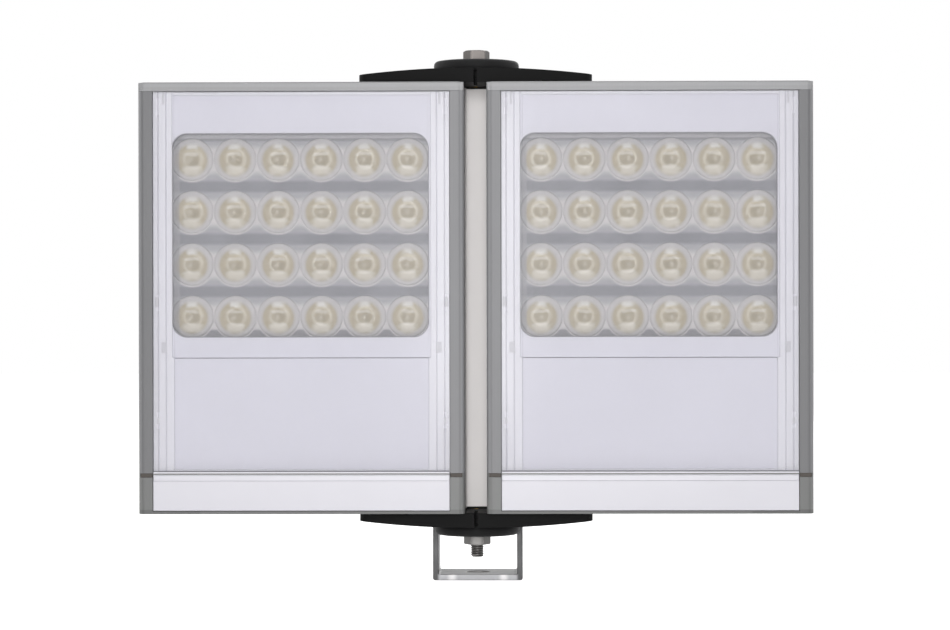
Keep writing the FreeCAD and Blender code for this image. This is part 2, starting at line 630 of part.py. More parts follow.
def make_caps():
    crown = Solid("right_top_cap")
    crown.pad(crown.outline("XY", "shellTop", lamp_outline(False)), "crownHeight")
    crown.round("railRound", "z", front_corners())
    crown.round("capRound", "x", [("frontY", "lampTop")])
    crown.pocket(crown.circles("XY", "shellTop - 1", port_circles("capScrewRadius + threadFit")),
                 "crownHeight + 2")
    crown.pocket(crown.circles("XY", "lampTop - capScrewSink",
                               port_circles("capScrewHead + threadFit")), "capScrewSink + 1")
    arm_holes = [("armScrewNearReach", "frontY + armScrewNearDepth", "armScrewRadius + threadFit"),
                 ("armScrewFarReach", "frontY + armScrewFarDepth", "armScrewRadius + threadFit")]
    crown.pocket(crown.circles("XY", "shellTop - 1", arm_holes), "crownHeight + 2")
    keep(crown.body)

    foot = Solid("right_bottom_cap")
    foot.pad(foot.outline("XY", "lampLift", lamp_outline(False)), "footHeight")
    foot.round("railRound", "z", front_corners())
    foot.pocket(foot.outline("XY", "lampLift + footFloor", [
        ("midX - cavityHalf", "frontY + wall + stripThickness"),
        ("midX + cavityHalf", "frontY + wall + stripThickness"),
        ("midX + cavityHalf", "frontY + sideDepth - wall / 2"),
        ("midX + shoulderHalf - wall / 2", "frontY + shoulderDepth - wall"),
        ("midX - shoulderHalf + wall / 2", "frontY + shoulderDepth - wall"),
        ("midX - cavityHalf", "frontY + sideDepth - wall / 2")]), "footHeight")
    foot.pocket(foot.outline("XZ", "frontY - 1", rectangle(
        "midX - openHalf", "midX + openHalf", "lampLift + stripFoot", "stripTop")),
        "stripThickness + 1")
    for near, far in (("midX - halfWidth + seamInset", "midX - openHalf"),
                      ("midX + openHalf", "midX + halfWidth - seamInset")):
        foot.pocket(foot.outline("XZ", "frontY - 1", rectangle(
            near, far, "shellFoot - seamHeight", "shellFoot")), "seamDepth + 1")
    foot.pad(foot.circles("XY", "lampLift + footFloor", port_circles("portRadius")),
             "footHeight - footFloor")
    foot.pocket(foot.circles("XY", "lampLift - 1", port_circles("capScrewRadius + threadFit")),
                "footHeight + 2")
    foot.pocket(foot.circles("XY", "lampLift - 1", port_circles("capScrewHead + threadFit")),
                "capScrewSink + 1")
    foot.pocket(foot.circles("XY", "lampLift - 1", arm_holes), "footFloor + 2")
    keep(foot.body)

    strip = Solid("right_front_strip")
    strip.pad(strip.outline("YZ", "midX - openHalf + fitGap", [
        ("frontY", "lampLift + stripFoot + fitGap"),
        ("frontY + stripThickness", "lampLift + stripFoot + fitGap"),
        ("frontY + stripThickness", "stripTop - fitGap"),
        ("frontY + stripLipDepth", "stripTop - fitGap"),
        ("frontY + stripLipDepth", "stripTop - stripLipHeight"),
        ("frontY", "stripTop - stripLipHeight")]), "2 * (openHalf - fitGap)")
    keep(strip.body)


def clip_slots(solid, level, length, inner, outer, spare, method):
    """Pads or pockets at the three clips of each side of the cover."""
    for lift in ("lowClipLift", "midClipLift", "topClipLift"):
        for side in ("-", "+"):
            near, far = "midX %s (%s)" % (side, inner), "midX %s (%s)" % (side, outer)
            if side == "-":
                near, far = far, near
            foot = "lampLift + %s - clipHeight / 2 - (%s)" % (lift, spare)
            method(solid.outline("XZ", level, rectangle(
                near, far, foot, foot + " + clipHeight + 2 * (%s)" % spare)), length)


def make_glazing():
    side = "openHalf - fitGap"
    foot, top = "shellFoot + fitGap", "shellTop - fitGap"
    cover = Solid("right_front_cover")
    cover.pad(cover.outline("XZ", "coverY", rectangle(
        "midX - (%s)" % side, "midX + " + side, foot, top)), "coverThickness")
    cover.pocket(cover.outline("XZ", "coverY", rectangle(
        "midX - plateHalf", "midX + plateHalf", foot + " + sealEndWidth",
        top + " - sealEndWidth")), "coverDishDepth")
    clip_slots(cover, "gasketY", "frontY + ledgeEnd - gasketY + fitGap + clipHookDepth",
               "clipX - clipThickness", "clipX", "0", cover.pad)
    clip_slots(cover, "frontY + ledgeEnd + fitGap", "clipHookDepth",
               "clipX", "clipX + clipHookWidth", "0", cover.pad)
    keep(cover.body)

    seal = Solid("right_gasket")
    seal.pad(seal.outline("XZ", "gasketY", rectangle(
        "midX - (%s)" % side, "midX + " + side, foot, top)), "plateY - gasketY")
    seal.pocket(seal.outline("XZ", "gasketY", rectangle(
        "midX - plateHalf", "midX + plateHalf", foot + " + sealEndWidth",
        top + " - sealEndWidth")), "plateY - gasketY")
    clip_slots(seal, "gasketY", "plateY - gasketY", "clipX - clipThickness - fitGap",
               "clipX + clipHookWidth + fitGap", "fitGap", seal.pocket)
    keep(seal.body)

    face = "ledgeHalf - fitGap"
    bezel = Solid("right_led_bezel")
    bezel.pad(bezel.outline("XZ", "plateY", rectangle(
        "midX - (%s)" % face, "midX + " + face, "splitZ", top)), "plateThickness")
    window = rectangle("midX - windowHalfX", "midX + windowHalfX",
                       "windowZ - windowHeight / 2", "windowZ + windowHeight / 2")
    bezel.pocket(bezel.outline("XZ", "plateY", window), "plateThickness")
    bezel.round("windowRound", "y", window)
    keep(bezel.body)

    keep(box("right_lower_plate", ("midX - (%s)" % face, "midX + " + face),
             ("plateY", "plateY + plateThickness"), (foot, "splitZ - fitGap")))


def grid_spots():
    """Names and places of the light points, column by column."""
    for column in range(int(value("ledColumns"))):
        for row in range(int(value("ledRows"))):
            yield ("%d_%d" % (column, row), "midX - gridHalfX + columnPitch * %d" % column,
                   "gridZ - gridHalfZ + rowPitch * %d" % row)


def make_light_engine():
    keep(box("right_led_board", ("midX - boardHalfX", "midX + boardHalfX"),
             ("boardY", "backY"), ("gridZ - boardHalfZ", "gridZ + boardHalfZ")))
    chips = [box("led_" + tag, (x + " - ledSize / 2", x + " + ledSize / 2"),
                 ("ledY", "boardY"), (z + " - ledSize / 2", z + " + ledSize / 2"))
             for tag, x, z in grid_spots()]
    keep(group("right_leds", *chips))

    make_lens_sheet()


def make_lens_sheet():
    sheet = Solid("right_led_lenses")
    sheet.pad(sheet.outline("XZ", "lensPlateY", rectangle(
        "midX - gridHalfX - lensRadius", "midX + gridHalfX + lensRadius",
        "gridZ - gridHalfZ - lensRadius", "gridZ + gridHalfZ + lensRadius")), "lensPlate")
    first = ("midX - gridHalfX", "gridZ - gridHalfZ")
    sheet.pad(sheet.outline("XZ", "lensPlateY - lensRise", ring(*first, "lensRadius")),
              "lensRise")
    face = sheet.last
    half = "(lensDepth - lensPlate) / 2"
    sheet.pad(sheet.outline("XZ", "lensPlateY + lensPlate", ring(*first, "lensWaistRadius")),
              half)
    waist = sheet.last
    sheet.pad(sheet.outline("XZ", "lensPlateY + lensPlate + " + half,
                            ring(*first, "lensTailRadius")), half)
    sheet.grid([face, waist, sheet.last], ("columnPitch", "ledColumns"),
               ("rowPitch", "ledRows"))
    sheet.pad(sheet.circles("XZ", "lensPlateY + lensPlate", [
        ("midX %s (gridHalfX - columnPitch / 2)" % side,
         "gridZ %s (gridHalfZ - rowPitch / 2)" % level, "lensLegRadius")
        for side in "-+" for level in "-+"]), "boardY - lensPlateY - lensPlate")
    keep(sheet.body)


def make_driver():
    keep(fuse("right_driver_board",
              box("driver_sheet", ("midX - driverHalf", "midX + driverHalf"),
                  ("driverY", "driverY + boardThickness"), ("driverZ", "driverZ + driverHeight")),
              *[rod("driver_post_%d" % number, "y",
                    ("midX %s (driverHalf - postInset)" % sign, "driverY + boardThickness",
                     "driverZ + driverHeight / 2"), "postRadius", "driverPost")
                for number, sign in enumerate("-+")]))
    middle = "driverZ + driverHeight / 2"
    coil = box("driver_coil", ("midX - coilSize", "midX"), ("driverY - coilHeight", "driverY"),
               (middle + " - coilSize / 2", middle + " + coilSize / 2"))
    cans = [rod("driver_can_%d" % number, "z",
                ("midX + coilSize / 2 + capacitorRadius + capacitorPitch * %d" % number,
                 "driverY - capacitorRadius", middle + " - capacitorLength / 2"),
                "capacitorRadius", "capacitorLength")
            for number in range(int(value("capacitorCount")))]
    end, foot = "midX - driverHalf + terminalInset", "driverZ + terminalFoot"
    block = box("driver_terminals", (end, end + " + terminalLength"),
                ("driverY - terminalHeight", "driverY"), (foot, foot + " + terminalDepth"))
    keep(group("right_driver_parts", coil, block, *cans))


def screw(name, x, y, level, radius, head, sink, length):
    """A countersunk screw that points down from its flush head."""
    return fuse(name, taper(name + "_head", "z", (x, y, "%s - %s" % (level, sink)), radius,
                            head, sink),
                rod(name + "_shank", "z", (x, y, "%s - %s" % (level, length)), radius,
                    "%s - %s" % (length, sink)))


def make_screws():
    upper = [screw("arm_screw_%d" % number, x, "frontY + " + depth,
                   "(lampTop + armTipThickness)", "armScrewRadius", "armScrewHead",
                   "armScrewSink", "(armTipThickness + crownHeight)")
             for number, (x, depth) in enumerate((("armScrewNearReach", "armScrewNearDepth"),
                                                  ("armScrewFarReach", "armScrewFarDepth")))]
    keep(group("right_arm_screws", *upper, *[
        mirrored("arm_screw_low_%d" % number, item, (0, 0, 1), "lampMiddle")
        for number, item in enumerate(upper)]))
    top = [screw("cap_screw_%d" % number, "midX %s portX" % sign, "portY", "lampTop",
                 "capScrewRadius", "capScrewHead", "capScrewSink", "capScrewLength")
           for number, sign in enumerate("-+")]
    low = [fuse("cap_screw_low_%d" % number,
                taper("cap_low_head_%d" % number, "z", ("midX %s portX" % sign, "portY", "lampLift"),
                      "capScrewHead", "capScrewRadius", "capScrewSink"),
                rod("cap_low_shank_%d" % number, "z",
                    ("midX %s portX" % sign, "portY", "lampLift + capScrewSink"),
                    "capScrewRadius", "footHeight + capScrewLength - capScrewSink"))
           for number, sign in enumerate("-+")]
    keep(group("right_cap_screws", *top, *low))


def make_gland():
    nut_y = "finFootY + glandHex + fitGap"
    start = ("midX", "backY - locknutHeight - 1", "glandZ")
    keep(cut("right_cable_gland",
             fuse("gland_blank",
                  rod("gland_stem", "y", start, "glandThread",
                      "locknutHeight + 1 + backPlate + glandHex + glandTail"),
                  hexagon("gland_hex", "y", ("midX", "finFootY", "glandZ"), "glandHexHalf",
                          "glandHex")),
             rod("gland_way", "y", ("midX", "backY - locknutHeight - 2", "glandZ"),
                 "glandBore", "locknutHeight + 3 + backPlate + glandHex + glandTail")))
    keep(cut("right_gland_locknut",
             hexagon("locknut_blank", "y", ("midX", "backY - locknutHeight", "glandZ"),
                     "glandHexHalf", "locknutHeight"),
             rod("locknut_bore", "y", ("midX", "backY - locknutHeight - 1", "glandZ"),
                 "glandThread + threadFit", "locknutHeight + 2")))
    keep(cut("right_gland_nut",
             fuse("gland_nut_blank",
                  hexagon("gland_nut_hex", "y", ("midX", nut_y, "glandZ"), "glandHexHalf",
                          "glandNutLength"),
                  taper("gland_nut_dome", "y", ("midX", nut_y + " + glandNutLength", "glandZ"),
                        "glandDomeFoot", "glandDomeRadius", "glandDome")),
             rod("gland_nut_thread", "y", ("midX", nut_y + " - 1", "glandZ"),
                 "glandThread + threadFit", "glandNutLength + 1"),
             rod("gland_nut_mouth", "y", ("midX", nut_y, "glandZ"), "glandBore",
                 "glandNutLength + glandDome + 1")))
    end_y = nut_y + " + glandNutLength + glandDome"
    keep(cut("right_gland_seal",
             rod("seal_blank", "y", ("midX", end_y + " - sealLength", "glandZ"),
                 "glandBore - threadFit", "sealLength"),
             rod("seal_way", "y", ("midX", end_y + " - sealLength - 1", "glandZ"), "sealBore",
                 "sealLength + 2")))


make_bracket()
make_spine()
make_hinge_hardware()
make_pivot_hardware()
make_arms()
first_of_lamp = len(pieces)
make_housing()
make_caps()
make_glazing()
make_light_engine()
make_driver()
make_screws()
make_gland()
for source in pieces[first_of_lamp:]:
    keep(mirrored(source.Name.replace("right_", "left_"), source, (1, 0, 0)))
doc.recompute()

faults = [item.Name for item in doc.Objects if {"Invalid", "Error"} & set(item.State)]
faults += [item.Label for item in pieces if item.Shape.isNull() or not item.Shape.isValid()]
if faults:
    raise RuntimeError("failed objects: " + ", ".join(faults))

os.makedirs("parts", exist_ok=True)
for item in pieces:
    item.Shape.exportStep("parts/%s.step" % item.Label)
print("pieces", len(pieces), "solids", sum(len(item.Shape.Solids) for item in pieces))
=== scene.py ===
import math

import bmesh
import bpy
from mathutils import Matrix, Quaternion, Vector


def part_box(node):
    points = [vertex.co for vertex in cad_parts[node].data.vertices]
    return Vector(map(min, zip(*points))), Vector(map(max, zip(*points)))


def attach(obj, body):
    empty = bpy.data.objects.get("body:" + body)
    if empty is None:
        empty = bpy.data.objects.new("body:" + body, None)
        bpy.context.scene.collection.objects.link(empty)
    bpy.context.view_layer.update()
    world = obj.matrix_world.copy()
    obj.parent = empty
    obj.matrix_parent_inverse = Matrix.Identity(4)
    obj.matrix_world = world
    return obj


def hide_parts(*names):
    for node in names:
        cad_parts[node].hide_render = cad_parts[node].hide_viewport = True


mm = 0.001

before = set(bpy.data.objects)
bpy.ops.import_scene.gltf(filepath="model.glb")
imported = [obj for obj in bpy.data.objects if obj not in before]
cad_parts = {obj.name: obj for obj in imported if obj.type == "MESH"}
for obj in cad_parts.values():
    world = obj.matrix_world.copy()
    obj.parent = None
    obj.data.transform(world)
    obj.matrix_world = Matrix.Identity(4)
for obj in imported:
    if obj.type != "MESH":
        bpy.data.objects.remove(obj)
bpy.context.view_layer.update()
print("frame loaded:", len(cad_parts), "nodes")


# Shader maths written as expressions

class Wire:
    # one output in a node tree; sums of wires add their Math nodes
    def __init__(self, tree, socket):
        self.tree = tree
        self.socket = socket

    def math(self, operation, *others):
        entries = dict(enumerate((self,) + others))
        return self.tree.node("ShaderNodeMath", {"operation": operation}, entries)

    def __add__(self, other):
        return self.math("ADD", other)

    def __mul__(self, other):
        return self.math("MULTIPLY", other)

    def __sub__(self, other):
        return self.math("SUBTRACT", other)

    def __rsub__(self, other):
        return (self * -1) + other

    def __mod__(self, other):
        return self.math("WRAP", other, 0)

    __radd__ = __add__
    __rmul__ = __mul__

    def size(self):
        return self.math("ABSOLUTE")

    def root(self):
        return self.math("SQRT")

    def step(self, low, high):
        # 0 below low, 1 above high, smooth between
        settings = {"interpolation_type": "SMOOTHSTEP", "clamp": True}
        return self.tree.node("ShaderNodeMapRange", settings,
                              {"Value": self, "From Min": low, "From Max": high})

    def band(self, middle, half, blur):
        # 1 within half of the middle, fading out over blur
        return 1 - (self - middle).size().step(half, half + blur)


class Tree:
    # a node tree whose nodes all come from one method
    def __init__(self, owner):
        owner.use_nodes = True
        self.nodes = owner.node_tree.nodes
        self.links = owner.node_tree.links

    def feed(self, entry, content):
        if isinstance(content, Wire):
            self.links.new(content.socket, entry)
        elif isinstance(content, tuple) and len(entry.default_value) == 4:
            entry.default_value = (*content, 1)
        else:
            entry.default_value = content

    def node(self, kind, settings=None, values=None, output=0):
        made = self.nodes.new(kind)
        for name, content in (settings or {}).items():
            setattr(made, name, content)
        for name, content in (values or {}).items():
            self.feed(made.inputs[name], content)
        return Wire(self, made.outputs[output])


class Surface(Tree):
    # a material with one Principled shader
    def __init__(self, name, **constants):
        self.material = bpy.data.materials.new(name)
        super().__init__(self.material)
        self.shader = self.nodes["Principled BSDF"]
        for socket, content in constants.items():
            self.set(socket, content)

    def set(self, socket, content):
        # socket names are written with an underscore for each blank
        self.feed(self.shader.inputs[socket.replace("_", " ")], content)

    def axes(self):
        # x, y and z of the surface point, in millimetres
        spot = self.node("ShaderNodeTexCoord", output="Object")
        split = self.node("ShaderNodeSeparateXYZ", {}, {"Vector": spot}).socket.node
        return [Wire(self, output) * (1 / mm) for output in split.outputs]

    def noise(self, size, scale=(1, 1, 1), detail=3, roughness=0.5):
        # size is the grain in millimetres
        spot = self.node("ShaderNodeTexCoord", output="Object")
        place = self.node("ShaderNodeMapping", {}, {"Vector": spot, "Scale": scale})
        return self.node("ShaderNodeTexNoise", {"normalize": True},
                         {"Vector": place, "Scale": 1 / (size * mm), "Detail": detail,
                          "Roughness": roughness})

    def blend(self, factor, first, second):
        # a colour between two, or past them where the factor leaves 0 to 1
        return self.node("ShaderNodeMix", {"data_type": "RGBA", "clamp_factor": False},
                         {"Factor": factor, 6: first, 7: second}, output=2)

    def vary(self, colour, amount, grain):
        # a base colour that drifts a little lighter and darker
        light = tuple(min(part * (1 + amount), 1) for part in colour)
        dark = tuple(part * (1 - amount) for part in colour)
        self.set("Base_Color", self.blend(grain, dark, light))

    def roughen(self, grain, middle, spread):
        # a roughness that drifts about its middle
        self.set("Roughness", grain * spread + (middle - spread / 2))

    def bump(self, height, depth, strength):
        # depth in millimetres
        relief = self.node("ShaderNodeBump", {}, {"Height": height, "Strength": strength,
                                                  "Distance": depth * mm})
        self.set("Normal", relief)


# Finishes: each function's base settings hold for every look that doesn't set its own

shellBase = {
    "metal": 0.12, "gloss": 0.35, "lineShare": 0.65, "spread": 0.14, "depth": 0.01, "relief": 0.35,
    "line": 0.5, "lineScale": (1, 1, 0.004), "lineDetail": 4, "lineRoughness": 0.7,
    # the outer band takes painted shade and the inner edges beside the hinge take painted light
    "cloud": 34, "cloudScale": (1, 1, 0.5), "outer": (127.0, 11.8, 0.6), "inner": (5.6, 6.8),
}


def shellFinish(name, look):
    # grey powder coat: fine upright lines and a soft cloud, with painted shade in an outer band of
    # x, painted light on the inner edges beside the hinge and painted shade below a height
    look = {**shellBase, **look}
    surface = Surface(name, Metallic=look["metal"], Specular_IOR_Level=look["gloss"])
    lines = surface.noise(look["line"], look["lineScale"], look["lineDetail"],
                          look["lineRoughness"])
    cloud = surface.noise(look["cloud"], look["cloudScale"])
    grain = lines * look["lineShare"] + cloud * (1 - look["lineShare"])
    x, _, z = surface.axes()
    away = x.size()
    # painted shade on the outer band and below a height, painted light on the inner edges beside
    # the hinge
    outer = away.band(*look["outer"]) * look["deeper"]
    under = (1 - z.step(*look["under"])) * look["shade"]
    inner = (1 - away.step(*look["inner"])) * look["lighter"]
    surface.vary(look["colour"], look["drift"], grain - outer - under + inner)
    surface.roughen(lines, look["roughness"], look["spread"])
    surface.bump(lines, look["depth"], look["relief"])
    return surface.material


mouldedBase = {"gloss": 0.5, "grain": 0.35, "cloud": 26, "drift": 0.03, "spread": 0.12,
               "depth": 0.008, "relief": 0.5}


def mould(surface, look):
    # gives the surface a moulded skin's fine grain and returns a soft cloud
    skin = surface.noise(look["grain"], detail=2)
    surface.roughen(skin, look["roughness"], look["spread"])
    surface.bump(skin, look["depth"], look["relief"])
    return surface.noise(look["cloud"])


def mouldedFinish(name, look):
    look = {**mouldedBase, **look}
    surface = Surface(name, Specular_IOR_Level=look["gloss"])
    surface.vary(look["colour"], look["drift"], mould(surface, look))
    return surface.material


def bezelFinish(name, look, window):
    # the face plate's white, with a thin shadow line round the light window
    look = {**mouldedBase, **look}
    surface = Surface(name, Specular_IOR_Level=look["gloss"])
    white = surface.blend(mould(surface, look), look["dark"], look["light"])
    x, _, z = surface.axes()
    corner = window["corner"]
    right = (x - window["x"]).size() - (window["halfWidth"] - corner)
    above = (z - window["z"]).size() - (window["halfHeight"] - corner)
    outX, outZ = right.math("MAXIMUM", 0), above.math("MAXIMUM", 0)
    inner = right.math("MAXIMUM", above).math("MINIMUM", 0)
    away = (outX * outX + outZ * outZ).root() + inner - corner
    line = away.band(*look["line"]) * look["lineDepth"]
    surface.set("Base_Color", surface.blend(line, white, look["lineColour"]))
    return surface.material


def coverFinish(name, look):
    # clear polycarbonate: almost nothing face on, milky at its edges
    surface = Surface(name, Roughness=look["roughness"], IOR=look["ior"],
                      Specular_IOR_Level=look["gloss"])
    surface.vary(look["colour"], look["drift"], surface.noise(look["cloud"]))
    facing = surface.node("ShaderNodeLayerWeight", {}, {"Blend": look["facing"]}, output="Facing")
    surface.set("Alpha", facing * look["milk"] + look["alpha"])
    return surface.material


brushedBase = {"metal": 0.9, "line": 0.35, "lineScale": (1, 1, 0.05), "lineShare": 0.4,
               "cloud": 6, "drift": 0.14, "spread": 0.16, "depth": 0.01, "relief": 0.3}


def brush(surface, look):
    # gives the surface fine upright lines and returns them mixed with a soft cloud
    lines = surface.noise(look["line"], look["lineScale"])
    cloud = surface.noise(look["cloud"])
    surface.roughen(cloud, look["roughness"], look["spread"])
    surface.bump(lines, look["depth"], look["relief"])
    return lines * look["lineShare"] + cloud * (1 - look["lineShare"])


def steelFinish(name, look):
    # brushed steel, with a painted highlight down the middle where the look has one
    look = {**brushedBase, **look}
    surface = Surface(name, Metallic=look["metal"])
    grain = brush(surface, look)
    if "gleam" in look:
        x = surface.axes()[0]
        # painted highlight
        grain = grain + x.band(*look["gleam"]) * look["shine"]
    surface.vary(look["colour"], look["drift"], grain)
    return surface.material


def bracketFinish(name, look):
    # satin grey strip: the front edge of its foot between the legs is bright, partly a bare cut
    # edge and partly painted light, with two painted highlights, and the wall of its mounting hole
    # is painted pale, painted light in the hole's shade
    look = {**brushedBase, **look}
    surface = Surface(name, Metallic=look["metal"], Specular_IOR_Level=look["gloss"])
    plain = surface.blend(brush(surface, look), look["dark"], look["light"])
    x, y, z = surface.axes()
    side = x.size()
    # painted light: the hole's wall is painted pale against the shade inside it
    hole = 1 - (x * x + y * y).root().step(*look["holeRim"])
    plain = surface.blend(hole, plain, look["hole"])
    foot = 1 - z.step(*look["foot"])
    front = 1 - y.step(*look["front"])
    between = 1 - side.step(*look["ends"])
    # painted light along the foot's front edge, partly a bare cut edge, with two painted highlights
    bright = surface.blend(side.band(*look["highlight"]), look["edgeDark"], look["edgeLight"])
    surface.set("Base_Color", surface.blend(foot * front * between, plain, bright))
    return surface.material


def lensFinish(name, look, grid):
    # moulded lenses: pale holder, tinted face with painted reflections, a darker heart and soft
    # glints, on a sheet that darkens between the rows, with painted shade near the window's top,
    # bottom and left edges and a painted lighter band under its top edge
    surface = Surface(name, Specular_IOR_Level=look["gloss"])
    x, _, z = surface.axes()
    across = (x - grid["left"]) % grid["columnPitch"] - grid["columnPitch"] / 2
    up = (z - grid["foot"]) % grid["rowPitch"] - grid["rowPitch"] / 2
    radius = (across * across + up * up).root()
    level = up.size()
    mottle = surface.noise(look["mottle"], detail=2)
    waver = surface.noise(look["waver"], detail=1) - 0.5
    wide = (across + waver * look["waverAcross"]).size()
    up = up + waver * look["waverUp"] + wide * wide * look["bow"]
    tint = surface.blend(mottle, look["face"], look["faceWarm"])
    # painted reflections on each lens face: the darker heart and the glints
    for mark in look["marks"]:
        spot = up.band(*mark["up"]) * (1 - wide.step(*mark["wide"]))
        tint = surface.blend(spot * mark["share"], tint, mark["colour"])
    sheet = surface.blend(level.step(*look["sheetFrom"]), look["rim"], look["sheet"])
    shade = surface.blend(surface.noise(look["cloud"], detail=1), look["between"], look["dusk"])
    sheet = surface.blend(level.step(*look["betweenFrom"]), sheet, shade)
    # painted shade near the window's top and bottom edges
    ends = (z - grid["middle"]).size()
    sheet = surface.blend(ends.step(*look["endShadeFrom"]), sheet, look["endShade"])
    # painted light: a lighter band under the window's top edge, against the bezel's shadow
    sheet = surface.blend(z.step(*grid["topLightFrom"]), sheet, look["brow"])
    rim = surface.blend(mottle * look["rimMottle"], look["rim"], look["sheet"])
    ground = surface.blend(1 - radius.step(*look["holderRim"]), sheet, rim)
    face = 1 - radius.step(*look["faceRim"])
    lens = surface.blend(face, ground, tint)
    # painted shade along the window's left edge
    leftShade = (1 - x.step(*grid["leftShadeTo"])) * look["leftShadeShare"]
    surface.set("Base_Color", surface.blend(leftShade, lens, look["leftShade"]))
    surface.set("Roughness", look["roughness"] - face * look["facePolish"])
    return surface.material


plainBase = {"metal": 0, "grain": 3, "drift": 0.08, "spread": 0.1}


def plainFinish(name, look):
    # an even colour with a slight cloud
    look = {**plainBase, **look}
    surface = Surface(name, Metallic=look["metal"])
    grain = surface.noise(look["grain"])
    surface.vary(look["colour"], look["drift"], grain)
    surface.roughen(grain, look["roughness"], look["spread"])
    return surface.material


finishes = {
    # the shell looks set the strength of their painted shade and painted light
    "shellSilver": (shellFinish, {"colour": (0.20, 0.20, 0.207), "drift": 0.16, "roughness": 0.5,
                                  "deeper": 0.8, "lighter": 1.6, "under": (46.0, 47.0),
                                  "shade": 0.0}),
    "capSilver": (shellFinish, {"colour": (0.285, 0.285, 0.292), "drift": 0.12,
                                "roughness": 0.48, "deeper": 0.0, "lighter": 1.0,
                                "under": (210.2, 210.8), "shade": 0.3}),
    "footSilver": (shellFinish, {"colour": (0.18, 0.182, 0.18), "drift": 0.14, "roughness": 0.5,
                                 "deeper": 0.6, "lighter": 1.0, "under": (34.1, 34.5),
                                 "shade": 0.9}),
    "stripWhite": (mouldedFinish, {"colour": (0.645, 0.635, 0.685), "roughness": 0.36}),
    "faceWhite": (mouldedFinish, {"colour": (0.66, 0.65, 0.72), "roughness": 0.5}),
    "sealWhite": (mouldedFinish, {"colour": (0.71, 0.70, 0.75), "roughness": 0.45}),
    "boardWhite": (mouldedFinish, {"colour": (0.42, 0.42, 0.47), "roughness": 0.45}),
    "spineWhite": (mouldedFinish, {"colour": (0.92, 0.885, 0.87), "roughness": 0.55,
                                   "grain": 0.6, "depth": 0.02}),
    "blackPlastic": (mouldedFinish, {"colour": (0.0065, 0.0065, 0.0066), "roughness": 0.6,
                                     "gloss": 0.08, "grain": 0.3, "depth": 0.02}),
    "discBlack": (mouldedFinish, {"colour": (0.018, 0.018, 0.0185), "roughness": 0.6,
                                  "gloss": 0.09, "grain": 0.3, "depth": 0.02}),
    "clearCover": (coverFinish, {"colour": (0.80, 0.80, 0.85), "drift": 0.03, "cloud": 30,
                                 "roughness": 0.1, "ior": 1.5, "gloss": 0.12, "facing": 0.25,
                                 "milk": 0.5, "alpha": 0.10}),
    "zincSteel": (steelFinish, {"colour": (0.19, 0.18, 0.17), "roughness": 0.3, "drift": 0.5}),
    "headSteel": (steelFinish, {"colour": (0.062, 0.057, 0.054), "roughness": 0.42,
                                "drift": 0.5, "gleam": (0.7, 2.6, 0.9), "shine": 1.7}),
    "nutSteel": (steelFinish, {"colour": (0.115, 0.112, 0.109), "roughness": 0.5,
                               "drift": 0.5, "gleam": (-0.1, 1.0, 1.4), "shine": 0.5}),
    "threadSteel": (steelFinish, {"colour": (0.15, 0.145, 0.14), "roughness": 0.4}),
    "bracketSteel": (bracketFinish, {
        "dark": (0.068, 0.068, 0.070), "light": (0.098, 0.098, 0.10), "metal": 0.12,
        "gloss": 0.16, "roughness": 0.34, "cloud": 5, "hole": (0.35, 0.342, 0.342),
        "holeRim": (5.3, 5.5), "foot": (2.2, 2.9), "front": (-14.9, -14.3), "ends": (16.4, 17.8),
        "highlight": (11.2, 0.2, 2.6), "edgeDark": (0.42, 0.42, 0.435),
        "edgeLight": (0.75, 0.74, 0.74)}),
    "phosphor": (plainFinish, {"colour": (0.75, 0.60, 0.22), "roughness": 0.4}),
    "circuitGreen": (plainFinish, {"colour": (0.02, 0.12, 0.05), "roughness": 0.35}),
    "component": (plainFinish, {"colour": (0.02, 0.02, 0.022), "roughness": 0.4}),
    "brass": (plainFinish, {"colour": (0.55, 0.38, 0.14), "roughness": 0.3, "metal": 1}),
    "clipGrey": (plainFinish, {"colour": (0.56, 0.55, 0.59), "roughness": 0.5}),
    # painted shade of the joint above the bottom strip
    "beadGrey": (plainFinish, {"colour": (0.15, 0.15, 0.165), "roughness": 0.6}),
    "jointBrown": (plainFinish, {"colour": (0.055, 0.045, 0.038), "roughness": 0.6}),
    # near-black of the painted shade blocks at the column's ends
    "collarBlack": (plainFinish, {"colour": (0.004, 0.004, 0.003), "roughness": 0.9}),
    "blackRubber": (plainFinish, {"colour": (0.012, 0.012, 0.012), "roughness": 0.7}),
}
print("materials")
finish = {name: make(name, look) for name, (make, look) in finishes.items()}

nodeFinish = {
    "u_bracket": "bracketSteel", "centre_spine": "spineWhite",
    "upper_hinge_disc": "discBlack", "lower_hinge_disc": "discBlack",
    "hinge_bolt": "zincSteel", "hinge_nut": "zincSteel", "hinge_washers": "zincSteel",
    "upper_bush": "brass", "lower_bush": "brass", "pivot_bolts": "zincSteel",
    "pivot_washers": "zincSteel",
}
lampFinish = {
    "housing": "shellSilver", "top_cap": "capSilver", "bottom_cap": "footSilver",
    "front_strip": "stripWhite", "front_cover": "clearCover", "gasket": "sealWhite",
    "led_bezel": "faceWhite", "lower_plate": "faceWhite", "led_board": "boardWhite",
    "leds": "phosphor", "led_lenses": "boardWhite", "driver_board": "circuitGreen",
    "driver_parts": "component", "arm_screws": "zincSteel", "cap_screws": "zincSteel",
    "cable_gland": "blackRubber", "gland_locknut": "blackRubber", "gland_nut": "blackRubber",
    "gland_seal": "blackRubber", "upper_arm": "blackPlastic", "lower_arm": "blackPlastic",
}
sides = ("left", "right")
for side in sides:
    nodeFinish.update({side + "_" + node: look for node, look in lampFinish.items()})


def wear(thing, material):
    thing.data.materials.clear()
    thing.data.materials.append(material)


for node, look in nodeFinish.items():
    wear(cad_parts[node], finish[look])


def boxOf(node):
    # lowest and highest corner of a node, in millimetres
    return [Vector(corner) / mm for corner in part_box(node)]


# Forms are modelled in millimetres and become pieces in metres

